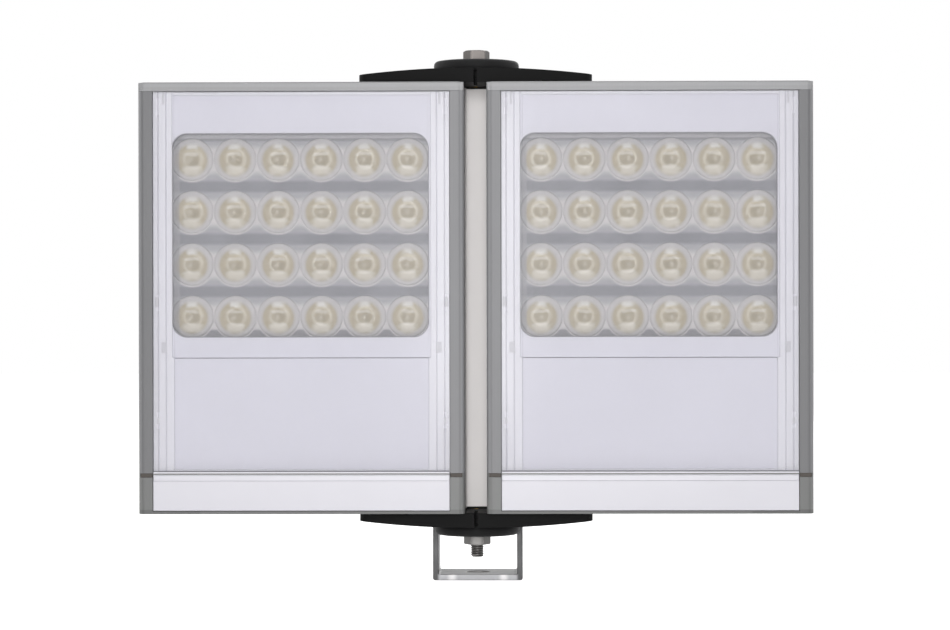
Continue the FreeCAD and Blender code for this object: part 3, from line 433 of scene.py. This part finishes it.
class Form:
    def __init__(self, node=None):
        self.work = bmesh.new()
        if node:
            self.work.from_mesh(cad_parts[node].data)
            self.move(Matrix.Scale(1 / mm, 4))
            self.weld()
            bmesh.ops.dissolve_limit(self.work, angle_limit=math.radians(0.5),
                                     verts=self.work.verts, edges=self.work.edges)

    def weld(self, reach=0.002):
        bmesh.ops.remove_doubles(self.work, verts=self.work.verts, dist=reach)
        return self

    def move(self, matrix):
        bmesh.ops.transform(self.work, matrix=matrix, verts=self.work.verts)
        return self

    def to(self, x, y, z):
        return self.move(Matrix.Translation((x, y, z)))

    def turn(self, degrees, axis):
        return self.move(Matrix.Rotation(math.radians(degrees), 4, axis))

    def flip(self):
        # upside down
        return self.move(Matrix.Scale(-1, 4, (0, 0, 1)))

    def line(self, profile):
        # an open line through (radius, height) points
        verts = [self.work.verts.new((radius, 0, height)) for radius, height in profile]
        return verts + [self.work.edges.new(pair) for pair in zip(verts, verts[1:])]

    def spin(self, profile, steps):
        # turns a line about the z axis
        bmesh.ops.spin(self.work, geom=self.line(profile), cent=(0, 0, 0), axis=(0, 0, 1),
                       angle=math.tau, steps=steps, use_merge=True)
        return self.weld()

    def lift(self, faces, rise):
        # extrudes faces along a vector
        made = bmesh.ops.extrude_face_region(self.work, geom=faces)
        top = [item for item in made["geom"] if isinstance(item, bmesh.types.BMVert)]
        bmesh.ops.translate(self.work, verts=top, vec=rise)
        return self

    def prism(self, outline, rise):
        return self.lift([self.work.faces.new([self.work.verts.new(point) for point in outline])],
                         rise)

    def block(self, low, high, radius):
        # a box between two corners, its edges rounded
        low, high = Vector(low), Vector(high)
        block = Form()
        bmesh.ops.create_cube(block.work, size=1)
        block.move(Matrix.Diagonal((*(high - low), 1))).ease(radius)
        return self.take(block.to(*(high + low) / 2))

    def ease(self, width, angle=28):
        # rounds the edges that turn by more than an angle
        limit = math.radians(angle)
        sharp = [edge for edge in self.work.edges
                 if len(edge.link_faces) == 2 and edge.calc_face_angle() > limit]
        bmesh.ops.bevel(self.work, geom=sharp, offset=width, affect="EDGES", segments=2,
                        profile=0.5, clamp_overlap=True, material=-1)
        return self

    def cut(self, level, keepAbove):
        # cuts at a height and keeps what is above or below it
        whole = self.work.verts[:] + self.work.edges[:] + self.work.faces[:]
        bmesh.ops.bisect_plane(self.work, geom=whole, plane_co=(0, 0, level),
                               plane_no=(0, 0, -1 if keepAbove else 1), clear_outer=True)
        return self

    def add(self, other):
        # joins a copy of another form
        mesh = bpy.data.meshes.new("joined")
        other.work.to_mesh(mesh)
        self.work.from_mesh(mesh)
        bpy.data.meshes.remove(mesh)
        return self

    def take(self, other):
        # joins another form and frees it
        self.add(other)
        other.work.free()
        return self

    def outward(self):
        self.weld()
        bmesh.ops.recalc_face_normals(self.work, faces=self.work.faces)
        return self

    def piece(self, name, material, body, *nodes, smooth=34):
        # makes the object, which rides a body and may stand for CAD nodes
        self.move(Matrix.Scale(mm, 4))
        mesh = bpy.data.meshes.new(name)
        self.work.to_mesh(mesh)
        self.work.free()
        mesh.polygons.foreach_set("use_smooth", [True] * len(mesh.polygons))
        mesh.set_sharp_from_angle(angle=math.radians(smooth))
        made = bpy.data.objects.new(name, mesh)
        bpy.context.scene.collection.objects.link(made)
        wear(made, material)
        flats = made.modifiers.new("evenFlats", "WEIGHTED_NORMAL")
        flats.keep_sharp = True
        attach(made, body)
        if nodes:
            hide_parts(*nodes)
        return made


# Softened copies of the solids, so that their edges catch the light

softEdges = {
    "u_bracket": 0.35, "centre_spine": 0.4, "housing": 0.3, "top_cap": 0.3,
    "bottom_cap": 0.3, "front_strip": 0.35, "front_cover": 0.2, "led_bezel": 0.3,
    "lower_plate": 0.3, "upper_arm": 0.5, "lower_arm": 0.5, "pivot_bolts": 0.3,
    "gland_nut": 0.4, "cable_gland": 0.4,
}


def soften(form, node, body, material):
    # rounds a form made from a node and puts it in the node's place
    width = softEdges[node.replace("left_", "").replace("right_", "")]
    form.ease(width).piece(node + "_soft", material, body, node)


def softened(node, body):
    soften(Form(node), node, body, finish[nodeFinish[node]])


print("softened edges")
softened("u_bracket", "bracket")
softened("centre_spine", "spine")
softened("pivot_bolts", "spine")
for side in sides:
    for node in ("housing", "front_strip", "front_cover", "lower_plate",
                 "upper_arm", "lower_arm", "gland_nut", "cable_gland"):
        softened(side + "_" + node, side + "_lamp")


# Top caps, their long upper edge at the front crisper than the solid's round

capRound = {"round": 2.0, "stretch": 1.5, "least": 0.001}


def makeTopCap(side):
    # pushes the points of the round out towards the square corner
    node = side + "_top_cap"
    low, high = boxOf(node)
    cap = Form(node)
    reach, least = capRound["round"], capRound["least"]
    middle, half = (low.x + high.x) / 2, (high.x - low.x) / 2 - reach
    for vert in cap.work.verts:
        sign = -1 if vert.co.x < middle else 1
        start = Vector((middle + sign * half, low.y + reach, high.z - reach))
        past = Vector((max((vert.co.x - start.x) * sign, 0), max(start.y - vert.co.y, 0),
                       max(vert.co.z - start.z, 0)))
        far = max(past)
        if past.y < least or far < least:
            continue
        stretch = min(past.length / far, capRound["stretch"], reach / far)
        spread = past * (stretch - 1)
        vert.co += Vector((spread.x * sign, -spread.y, spread.z))
    soften(cap, node, side + "_lamp", finish["capSilver"])


# Face plate whose light window reaches a little further to the left and up

windowShape = {
    "reach": 1.0, "rise": 0.9, "half": 54.0, "foot": 106.0, "top": 190.6, "corner": 6.2,
    "halfWidth": 52.9, "halfHeight": 41.85, "centreZ": 148.3,
    "look": {"dark": (0.64, 0.63, 0.70), "light": (0.68, 0.67, 0.74), "roughness": 0.5,
             "line": (0.0, 0.25, 0.35), "lineDepth": 0.85, "lineColour": (0.16, 0.16, 0.17)},
}


def makeBezel(side):
    # only the window's own points move: those inside half, foot and top
    node = side + "_led_bezel"
    low, high = boxOf(node)
    centre = (low.x + high.x) / 2
    bezel = Form(node)
    for vert in bezel.work.verts:
        place = vert.co
        if not windowShape["foot"] < place.z < windowShape["top"]:
            continue
        if abs(place.x - centre) > windowShape["half"]:
            continue
        if place.x < centre:
            place.x -= windowShape["reach"]
        if place.z > windowShape["centreZ"]:
            place.z += windowShape["rise"]
    reach, rise = windowShape["reach"] / 2, windowShape["rise"] / 2
    window = {"x": centre - reach, "z": windowShape["centreZ"] + rise,
              "corner": windowShape["corner"], "halfWidth": windowShape["halfWidth"] + reach,
              "halfHeight": windowShape["halfHeight"] + rise}
    material = bezelFinish(side + "FacePlate", windowShape["look"], window)
    soften(bezel, node, side + "_lamp", material)


# Bottom caps with a deeper joint under the shell at both rails

jointNotch = {"floor": 48.6, "near": 0.05, "drop": 0.8}


def makeBottomCap(side):
    node = side + "_bottom_cap"
    cap = Form(node)
    for vert in cap.work.verts:
        if abs(vert.co.z - jointNotch["floor"]) < jointNotch["near"]:
            vert.co.z -= jointNotch["drop"]
    soften(cap, node, side + "_lamp", finish["footSilver"])


for side in sides:
    makeTopCap(side)
    makeBezel(side)
    makeBottomCap(side)


# Lens sheet: a plate with 24 holders and domed lenses. The painted lighter band under the window's
# top starts at heights measured up from the solid sheet's top, and the painted shade at the left
# reaches distances measured in from its left edge.

lensSheet = {
    "columns": 6, "rows": 4, "chip": 3.5, "shift": {"left": -0.9, "right": 0.0}, "lift": 0.4,
    "profile": [(9.0, 0), (8.75, 0.4), (8.4, 0.75), (7.95, 0.95), (7.5, 1.1), (6.9, 1.4),
                (5.9, 1.75), (4.6, 2.0), (3.3, 2.05), (2.4, 1.85), (1.2, 1.6), (0, 1.55)],
    "steps": 32, "setBack": 0.3, "thick": 1.2, "round": 0.3,
    "past": {"left": 1.5, "right": 0.3, "foot": 0.5, "top": 3.4},
    "windowMiddle": 148.75, "topLightFrom": (0.9, 1.6), "leftShadeTo": (1.4, 2.2),
    "look": {
        "gloss": 0.35, "roughness": 0.6, "facePolish": 0.28, "mottle": 2.4, "cloud": 17,
        "waver": 3.4, "waverAcross": 3.0, "waverUp": 1.6, "bow": 0.03,
        "holderRim": (8.7, 9.6), "faceRim": (5.7, 7.7), "rimMottle": 0.35,
        # the shade near the window's top, bottom and left edges is painted shade, and the lighter
        # band under its top edge is painted light
        "sheetFrom": (3.5, 7.2), "betweenFrom": (7.7, 9.6), "endShadeFrom": (38.9, 40.1),
        "rim": (0.61, 0.585, 0.585), "face": (0.42, 0.36, 0.238), "faceWarm": (0.46, 0.40, 0.29),
        "sheet": (0.36, 0.36, 0.38), "between": (0.15, 0.15, 0.17), "dusk": (0.26, 0.26, 0.285),
        "endShade": (0.23, 0.225, 0.24), "brow": (0.43, 0.42, 0.44),
        "leftShade": (0.33, 0.325, 0.34), "leftShadeShare": 0.6,
        # painted reflections on each lens face: a darker heart, a broad glint below it, a thin
        # glint and a pale rim glint above it
        "marks": [
            {"up": (-0.5, 1.1, 2.2), "wide": (1.2, 5.4), "share": 0.75,
             "colour": (0.33, 0.285, 0.19)},
            {"up": (-4.3, 1.0, 1.8), "wide": (2.0, 5.2), "share": 0.8,
             "colour": (0.66, 0.62, 0.54)},
            {"up": (2.6, 0.25, 0.7), "wide": (1.6, 3.8), "share": 0.7,
             "colour": (0.66, 0.62, 0.54)},
            {"up": (6.0, 0.6, 1.3), "wide": (0.8, 3.4), "share": 0.9,
             "colour": (0.72, 0.71, 0.68)},
        ],
    },
}


def makeLensSheet(side):
    low, high = boxOf(side + "_leds")
    plateLow, plateHigh = boxOf(side + "_led_lenses")
    columns, rows, chip = lensSheet["columns"], lensSheet["rows"], lensSheet["chip"]
    columnPitch = (high.x - low.x - chip) / (columns - 1)
    rowPitch = (high.z - low.z - chip) / (rows - 1)
    centre = (low.x + high.x) / 2 + lensSheet["shift"][side]
    middle = (low.z + high.z) / 2
    # the colours keep the LEDs' heights, and the lenses sit a little higher
    grid = {"columnPitch": columnPitch, "rowPitch": rowPitch,
            "left": centre - columnPitch * columns / 2, "foot": middle - rowPitch * rows / 2,
            "middle": lensSheet["windowMiddle"],
            "topLightFrom": [plateHigh.z + rise for rise in lensSheet["topLightFrom"]],
            "leftShadeTo": [plateLow.x + inset for inset in lensSheet["leftShadeTo"]]}
    front, past = plateLow.y + lensSheet["setBack"], lensSheet["past"]
    sheet = Form()
    sheet.block((plateLow.x - past["left"], front, plateLow.z - past["foot"]),
                (plateHigh.x + past["right"], front + lensSheet["thick"],
                 plateHigh.z + past["top"]), lensSheet["round"])
    lens = Form().spin(lensSheet["profile"], lensSheet["steps"]).turn(90, "X")
    for column in range(columns):
        for row in range(rows):
            spot = ((column - (columns - 1) / 2) * columnPitch + centre, front,
                    (row - (rows - 1) / 2) * rowPitch + middle + lensSheet["lift"])
            sheet.take(Form().add(lens).to(*spot))
    lens.work.free()
    material = lensFinish(side + "LensSheet", lensSheet["look"], grid)
    sheet.outward().piece(side + "_lens_sheet", material, side + "_lamp", side + "_led_lenses",
                          smooth=40)


print("lens sheets")
for side in sides:
    makeLensSheet(side)


# Seal frame under the cover: grooved side strips, each with a raised tab

sealFrame = {
    "setBack": 0.15, "chamfer": 0.3, "split": 97.6, "apart": 0.02,
    "grooves": [(2.0, 0.3, 0.5), (5.3, 0.3, 0.45)],
    "stripWidth": {"low": 8.8, "high": 7.9}, "endWidth": 1.4, "endRound": 0.15,
    "tab": {"inset": 3.4, "lift": 60.4, "width": 1.9, "height": 19.0, "sunk": 0.1, "rise": 0.4,
            "round": 0.12},
}


def makeSealFrame(side):
    low, high = boxOf(side + "_gasket")
    front, rear = low.y + sealFrame["setBack"], high.y
    split, chamfer, tab = sealFrame["split"], sealFrame["chamfer"], sealFrame["tab"]
    levels = {"low": (low.z, split), "high": (split + sealFrame["apart"], high.z)}
    seal = Form()
    for edge, inward in ((low.x, 1), (high.x, -1)):
        for part, (foot, top) in levels.items():
            outline = [(edge, front)]
            for inset, half, depth in sealFrame["grooves"]:
                outline += [(edge + inward * (inset - half), front),
                            (edge + inward * inset, front + depth),
                            (edge + inward * (inset + half), front)]
            inner = edge + inward * sealFrame["stripWidth"][part]
            outline += [(inner - inward * chamfer, front), (inner, front + chamfer),
                        (inner, rear), (edge, rear)]
            seal.prism([(x, y, foot) for x, y in outline], (0, 0, top - foot))
        x = edge + inward * tab["inset"]
        seal.block((x - tab["width"] / 2, front - tab["sunk"], tab["lift"] - tab["height"] / 2),
                   (x + tab["width"] / 2, front + tab["rise"], tab["lift"] + tab["height"] / 2),
                   tab["round"])
    ends = {"low": low.z, "high": high.z - sealFrame["endWidth"]}
    for part, foot in ends.items():
        reach = sealFrame["stripWidth"][part] + sealFrame["apart"]
        seal.block((low.x + reach, front, foot),
                   (high.x - reach, rear, foot + sealFrame["endWidth"]), sealFrame["endRound"])
    seal.outward().piece(side + "_seal_frame", finish["sealWhite"], side + "_lamp",
                         side + "_gasket")


# Small clips of the snap-in cover, seen through it as grey marks

clipShape = {"front": 0.02, "rear": 0.5, "round": 0.2, "spare": 0.1}
clipMarks = [
    {"inset": 4.1, "lift": 205.6, "width": 1.0, "height": 4.6},
    {"inset": 4.3, "lift": 209.6, "width": 0.8, "height": 0.9},
    {"inset": 1.2, "lift": 120.9, "width": 1.5, "height": 4.2},
    {"inset": 4.4, "lift": 101.9, "width": 2.3, "height": 4.6},
    {"inset": 1.9, "lift": 71.2, "width": 1.0, "height": 2.6},
]


def makeClipMarks(side):
    low, high = boxOf(side + "_gasket")
    front, rear = low.y + clipShape["front"], low.y + clipShape["rear"]
    clips = Form()
    for edge, inward in ((low.x, 1), (high.x, -1)):
        for mark in clipMarks:
            width, height = mark["width"] / 2, mark["height"] / 2
            x = edge + inward * mark["inset"]
            lift = min(mark["lift"], high.z - height - clipShape["spare"])
            clips.block((x - width, front, lift - height), (x + width, rear, lift + height),
                        clipShape["round"])
    clips.outward().piece(side + "_clip_marks", finish["clipGrey"], side + "_lamp")


# Dark strips in the joint between each shell and its bottom cap: partly a seal, partly painted
# shade of the deep notch there

jointSeal = {"inset": 1.0, "end": 5.9, "setBack": 0.7, "depth": 3.0, "height": 1.8,
             "clear": 0.03, "round": 0.1}


def makeJointSeal(side):
    low, high = boxOf(side + "_housing")
    front = low.y + jointSeal["setBack"]
    foot, top = low.z - jointSeal["height"], low.z - jointSeal["clear"]
    seal = Form()
    for edge, inward in ((low.x, 1), (high.x, -1)):
        start, end = sorted(edge + inward * jointSeal[name] for name in ("inset", "end"))
        seal.block((start, front, foot), (end, front + jointSeal["depth"], top),
                   jointSeal["round"])
    seal.outward().piece(side + "_joint_seal", finish["jointBrown"], side + "_lamp")


# Lip of the bottom strip in front of the cover's foot, with a thin grey strip on it that is painted
# shade of the joint

stripLip = {"inset": 6.3, "front": 0.03, "depth": 0.4, "foot": 48.72, "top": 50.1,
            "round": 0.08, "bead": {"setBack": 0.05, "gap": 0.02, "height": 0.45}}


def makeStripLip(side):
    low, high = boxOf(side + "_housing")
    start, end = low.x + stripLip["inset"], high.x - stripLip["inset"]
    front = low.y + stripLip["front"]
    rear, top, bead = front + stripLip["depth"], stripLip["top"], stripLip["bead"]
    lip = Form().block((start, front, stripLip["foot"]), (end, rear, top), stripLip["round"])
    lip.outward().piece(side + "_strip_lip", finish["stripWhite"], side + "_lamp")
    # the thin grey strip is painted shade of the joint
    line = Form().block((start, front + bead["setBack"], top + bead["gap"]),
                        (end, rear, top + bead["height"]), stripLip["round"])
    line.outward().piece(side + "_strip_bead", finish["beadGrey"], side + "_lamp")


print("seals")
for side in sides:
    makeStripLip(side)
    makeSealFrame(side)
    makeClipMarks(side)
    makeJointSeal(side)


# Hinge hardware: domed discs, chamfered nut, threaded stud. headCut and into are heights
# above the nut's foot, and the stud's end has the radius root less tip.

hinge = {
    "discProfile": [(3.4, 0), (16.5, 0), (17.5, 0.6), (18.05, 1.5), (18.2, 2.3), (18.2, 3.2),
                    (18.05, 4.0), (17.6, 4.65), (16.9, 5.05), (15.8, 5.22), (12.0, 5.5),
                    (7.2, 5.75), (6.7, 5.75), (6.4, 5.5), (6.4, 4.8), (3.4, 4.8), (3.4, 0)],
    "discSteps": 96, "headTurn": 10, "headCut": 0.5, "headEdge": 0.2,
}
nutShape = {"turn": 30, "corner": 0.55, "edge": 0.12}
thread = {"pitch": 0.95, "root": 2.35, "crest": 2.8, "flat": (0.42, 0.58), "steps": 32,
          "into": 0.4, "tip": 0.3, "chamfer": 0.7}


def makeDisc(node, below):
    low, high = boxOf(node)
    disc = Form().spin(hinge["discProfile"], hinge["discSteps"])
    if below:
        disc.flip()
    middle = (low + high) / 2
    disc.to(middle.x, middle.y, high.z if below else low.z)
    disc.outward().piece(node + "_domed", finish[nodeFinish[node]], "spine", node, smooth=24)


def makeNut():
    low, high = boxOf("hinge_nut")
    middle, radius = (low + high) / 2, (high.x - low.x) / 2
    nut = Form()
    bmesh.ops.create_circle(nut.work, cap_ends=True, segments=6, radius=radius)
    nut.turn(nutShape["turn"], "Z").lift(nut.work.faces[:], (0, 0, high.z - low.z))
    bmesh.ops.bevel(nut.work, geom=nut.work.verts[:], offset=nutShape["corner"],
                    affect="VERTICES", segments=1, profile=0.5, material=-1)
    nut.ease(nutShape["edge"], angle=20).to(middle.x, middle.y, low.z)
    nut.outward().piece("hinge_nut_chamfered", finish["nutSteel"], "spine", "hinge_nut", smooth=20)


def makeBolt():
    # the head and shank stay as they are, and the free end gets its thread
    low, high = boxOf("hinge_bolt")
    middle = (low + high) / 2
    nutFoot = boxOf("hinge_nut")[0].z
    bolt = Form("hinge_bolt").cut(nutFoot + hinge["headCut"], True)
    bolt.to(-middle.x, -middle.y, 0).turn(hinge["headTurn"], "Z").to(middle.x, middle.y, 0)
    bolt.ease(hinge["headEdge"])
    bolt.piece("hinge_bolt_head", finish["headSteel"], "spine", "hinge_bolt")
    pitch, root, crest, steps = (thread[name] for name in ("pitch", "root", "crest", "steps"))
    reach = nutFoot + thread["into"] - low.z
    turns = int(reach / pitch) + 2
    ridge = [(crest, pitch * share) for share in thread["flat"]]
    stud = Form()
    bmesh.ops.spin(stud.work, geom=stud.line([(root, 0), *ridge, (root, pitch)]),
                   cent=(0, 0, 0), axis=(0, 0, 1), dvec=(0, 0, pitch / steps),
                   angle=math.tau * turns, steps=steps * turns)
    stud.weld().to(0, 0, -pitch).cut(0, True).cut(reach, False)
    for vert in stud.work.verts:
        limit = root - thread["tip"] + vert.co.z / thread["chamfer"]
        radius = math.hypot(vert.co.x, vert.co.y)
        if radius > limit:
            vert.co.x, vert.co.y = vert.co.x * limit / radius, vert.co.y * limit / radius
    rims = [edge for edge in stud.work.edges if edge.is_boundary]
    bmesh.ops.holes_fill(stud.work, edges=rims, sides=0)
    stud.to(middle.x, middle.y, low.z)
    stud.outward().piece("hinge_bolt_thread", finish["threadSteel"], "spine", smooth=30)


# Near-black blocks that close the gap between the column and the arms at both ends: painted shade,
# standing for the dark gap there

shadeBlock = {"half": 4.3, "front": -37.0, "rear": -35.05, "top": (211.7, 212.47),
          "foot": (32.53, 33.4), "round": 0.15}


def makeShadeBlocks():
    shadeBlocks = Form()
    for low, high in (shadeBlock["top"], shadeBlock["foot"]):
        shadeBlocks.block((-shadeBlock["half"], shadeBlock["front"], low),
                      (shadeBlock["half"], shadeBlock["rear"], high), shadeBlock["round"])
    shadeBlocks.outward().piece("spine_collars", finish["collarBlack"], "spine")


print("hinge hardware")
makeShadeBlocks()
makeDisc("upper_hinge_disc", False)
makeDisc("lower_hinge_disc", True)
makeNut()
makeBolt()


# Screws with a hexagonal socket in a flat head

socketScrews = {
    "arm": {"head": 3.8, "shank": 2.0, "sink": 1.8, "socket": 1.45, "depth": 1.3, "length": 7.4,
            "rim": 0.15, "across": (22.0, 41.0)},
    "cap": {"head": 2.8, "shank": 1.4, "sink": 1.6, "socket": 1.15, "depth": 1.1, "length": 9.0,
            "rim": 0.15},
}


def socketScrew(look):
    # head up at height nought
    screw = Form()
    head, length, rim, shank = (look[name] for name in ("head", "length", "rim", "shank"))
    bmesh.ops.create_circle(screw.work, cap_ends=False, segments=24, radius=head - rim)
    outer = screw.work.edges[:]
    bmesh.ops.create_circle(screw.work, cap_ends=False, segments=6, radius=look["socket"])
    inner = [edge for edge in screw.work.edges if edge not in outer]
    bmesh.ops.subdivide_edges(screw.work, edges=inner, cuts=3)
    inner = [edge for edge in screw.work.edges if edge not in outer]
    bmesh.ops.bridge_loops(screw.work, edges=outer + inner)
    wall = bmesh.ops.extrude_edge_only(screw.work, edges=inner)
    floor = [item for item in wall["geom"] if isinstance(item, bmesh.types.BMVert)]
    bmesh.ops.translate(screw.work, verts=floor, vec=(0, 0, -look["depth"]))
    bottom = [item for item in wall["geom"]
              if isinstance(item, bmesh.types.BMEdge) and item.is_boundary]
    bmesh.ops.holes_fill(screw.work, edges=bottom, sides=0)
    body = [(head - rim, 0), (head, -rim), (shank, -look["sink"]), (shank, -length), (0, -length)]
    return screw.take(Form().spin(body, 24))


def makeScrews(side, kind):
    node = side + "_" + kind + "_screws"
    look = socketScrews[kind]
    low, high = boxOf(node)
    head = look["head"]
    if kind == "arm":
        sign = -1 if side == "left" else 1
        near, far = (sign * across for across in look["across"])
        spots = [(near, low.y + head), (far, high.y - head)]
    else:
        middle = (low.y + high.y) / 2
        spots = [(low.x + head, middle), (high.x - head, middle)]
    screws = Form()
    for x, y in spots:
        screws.take(socketScrew(look).to(x, y, high.z))
        screws.take(socketScrew(look).flip().to(x, y, low.z))
    screws.outward().piece(side + "_" + kind + "_socket_screws", finish["zincSteel"],
                           side + "_lamp", node)


print("screws")
for side in sides:
    for kind in socketScrews:
        makeScrews(side, kind)


# Studio: pale floor and backdrop, soft lamps, the photograph's camera

studio = {
    "worldGrey": 0.15, "aim": (0.0, -0.04, 0.12),
    "floor": {"size": 8.0, "drop": 0.3, "colour": (0.86, 0.86, 0.86), "glow": 0.92},
    "lamps": {
        "frontLamp": {"place": (0.0, -1.9, 0.50), "power": 9.2, "size": (0.30, 0.34)},
        "slitLamp": {"place": (-0.029, -1.9, 0.13), "power": 10.5, "size": (0.05, 0.36)},
        "keyLamp": {"place": (-1.1, -1.3, 1.2), "power": 3, "size": (1.0, 1.0)},
        "fillLamp": {"place": (1.3, -1.1, 0.8), "power": 1.5, "size": (1.0, 1.0)},
        "topLamp": {"place": (0.0, 0.1, 1.5), "power": 7, "size": (1.0, 1.0)},
        "leftLamp": {"place": (-1.6, 0.3, 0.6), "power": 8, "size": (0.9, 0.9)},
        "rightLamp": {"place": (1.6, 0.3, 0.6), "power": 8, "size": (0.9, 0.9)},
        "rearLamp": {"place": (0.5, 1.6, 0.9), "power": 8, "size": (1.0, 1.0)},
        "rearFill": {"place": (-0.9, 1.4, 0.5), "power": 4, "size": (1.0, 1.0)},
    },
}


def seenAsWhite(tree):
    # 1 for the camera and for what glass and metal show, else 0
    seen = tree.node("ShaderNodeLightPath", output="Is Camera Ray")
    for ray in ("Is Glossy Ray", "Is Transmission Ray"):
        seen = seen.math("MAXIMUM", tree.node("ShaderNodeLightPath", output=ray))
    return seen


def makeWorld():
    world = bpy.data.worlds.new("studio")
    tree = Tree(world)
    back = tree.nodes["Background"]
    tree.feed(back.inputs["Color"], (1, 1, 1))
    level = tree.node("ShaderNodeMapRange", {}, {"Value": seenAsWhite(tree),
                                                 "To Min": studio["worldGrey"], "To Max": 1})
    tree.feed(back.inputs["Strength"], level)
    bpy.context.scene.world = world


def floorFinish(look):
    # a pale floor that glows to white, and that the camera looks through from below
    surface = Surface("paleFloor", Base_Color=look["colour"], Roughness=1, Specular_IOR_Level=0)
    glow = surface.node("ShaderNodeEmission", {}, {"Strength": seenAsWhite(surface) * look["glow"]})
    floor = Wire(surface, surface.shader.outputs[0])
    lit = surface.node("ShaderNodeAddShader", {}, {0: floor, 1: glow})
    back = surface.node("ShaderNodeNewGeometry", output="Backfacing")
    below = back * surface.node("ShaderNodeLightPath", output="Is Camera Ray")
    clear = surface.node("ShaderNodeBsdfTransparent")
    choice = surface.node("ShaderNodeMixShader", {}, {0: below, 1: lit, 2: clear})
    surface.feed(surface.nodes["Material Output"].inputs["Surface"], choice)
    return surface.material


def makeFloor():
    look = studio["floor"]
    work = bmesh.new()
    bmesh.ops.create_grid(work, x_segments=1, y_segments=1, size=look["size"] / 2,
                          matrix=Matrix.Translation((0, 0, -look["drop"] * mm)))
    mesh = bpy.data.meshes.new("floor")
    work.to_mesh(mesh)
    work.free()
    mesh.materials.append(floorFinish(look))
    floor = bpy.data.objects.new("floor", mesh)
    bpy.context.scene.collection.objects.link(floor)


def makeLamp(name, look):
    light = bpy.data.lights.new(name, "AREA")
    light.energy = look["power"]
    light.shape = "RECTANGLE"
    light.size, light.size_y = look["size"]
    lamp = bpy.data.objects.new(name, light)
    lamp.location = look["place"]
    aim = Vector(studio["aim"]) - Vector(look["place"])
    lamp.rotation_euler = aim.to_track_quat("-Z", "Y").to_euler()
    bpy.context.scene.collection.objects.link(lamp)


cameraSetup = {
    "place": (0.0200, -1.3500, 0.1195), "yaw": 0.903, "pitch": -0.187, "roll": -0.107,
    "lens": 116.6, "sensor": 36, "nearest": 0.02,
}


def makeCamera():
    data = bpy.data.cameras.new("camera")
    data.lens = cameraSetup["lens"]
    data.sensor_width = cameraSetup["sensor"]
    data.clip_start = cameraSetup["nearest"]
    camera = bpy.data.objects.new("camera", data)
    camera.location = cameraSetup["place"]
    level = Quaternion((1, 0, 0), math.radians(90 + cameraSetup["pitch"]))
    turn = Quaternion((0, 0, 1), math.radians(cameraSetup["yaw"]))
    roll = Quaternion((0, 0, 1), math.radians(cameraSetup["roll"]))
    camera.rotation_euler = (turn @ level @ roll).to_euler()
    bpy.context.scene.collection.objects.link(camera)
    bpy.context.scene.camera = camera


print("studio")
bpy.context.scene.view_settings.view_transform = "Standard"
makeWorld()
makeFloor()
for name, look in studio["lamps"].items():
    makeLamp(name, look)
makeCamera()
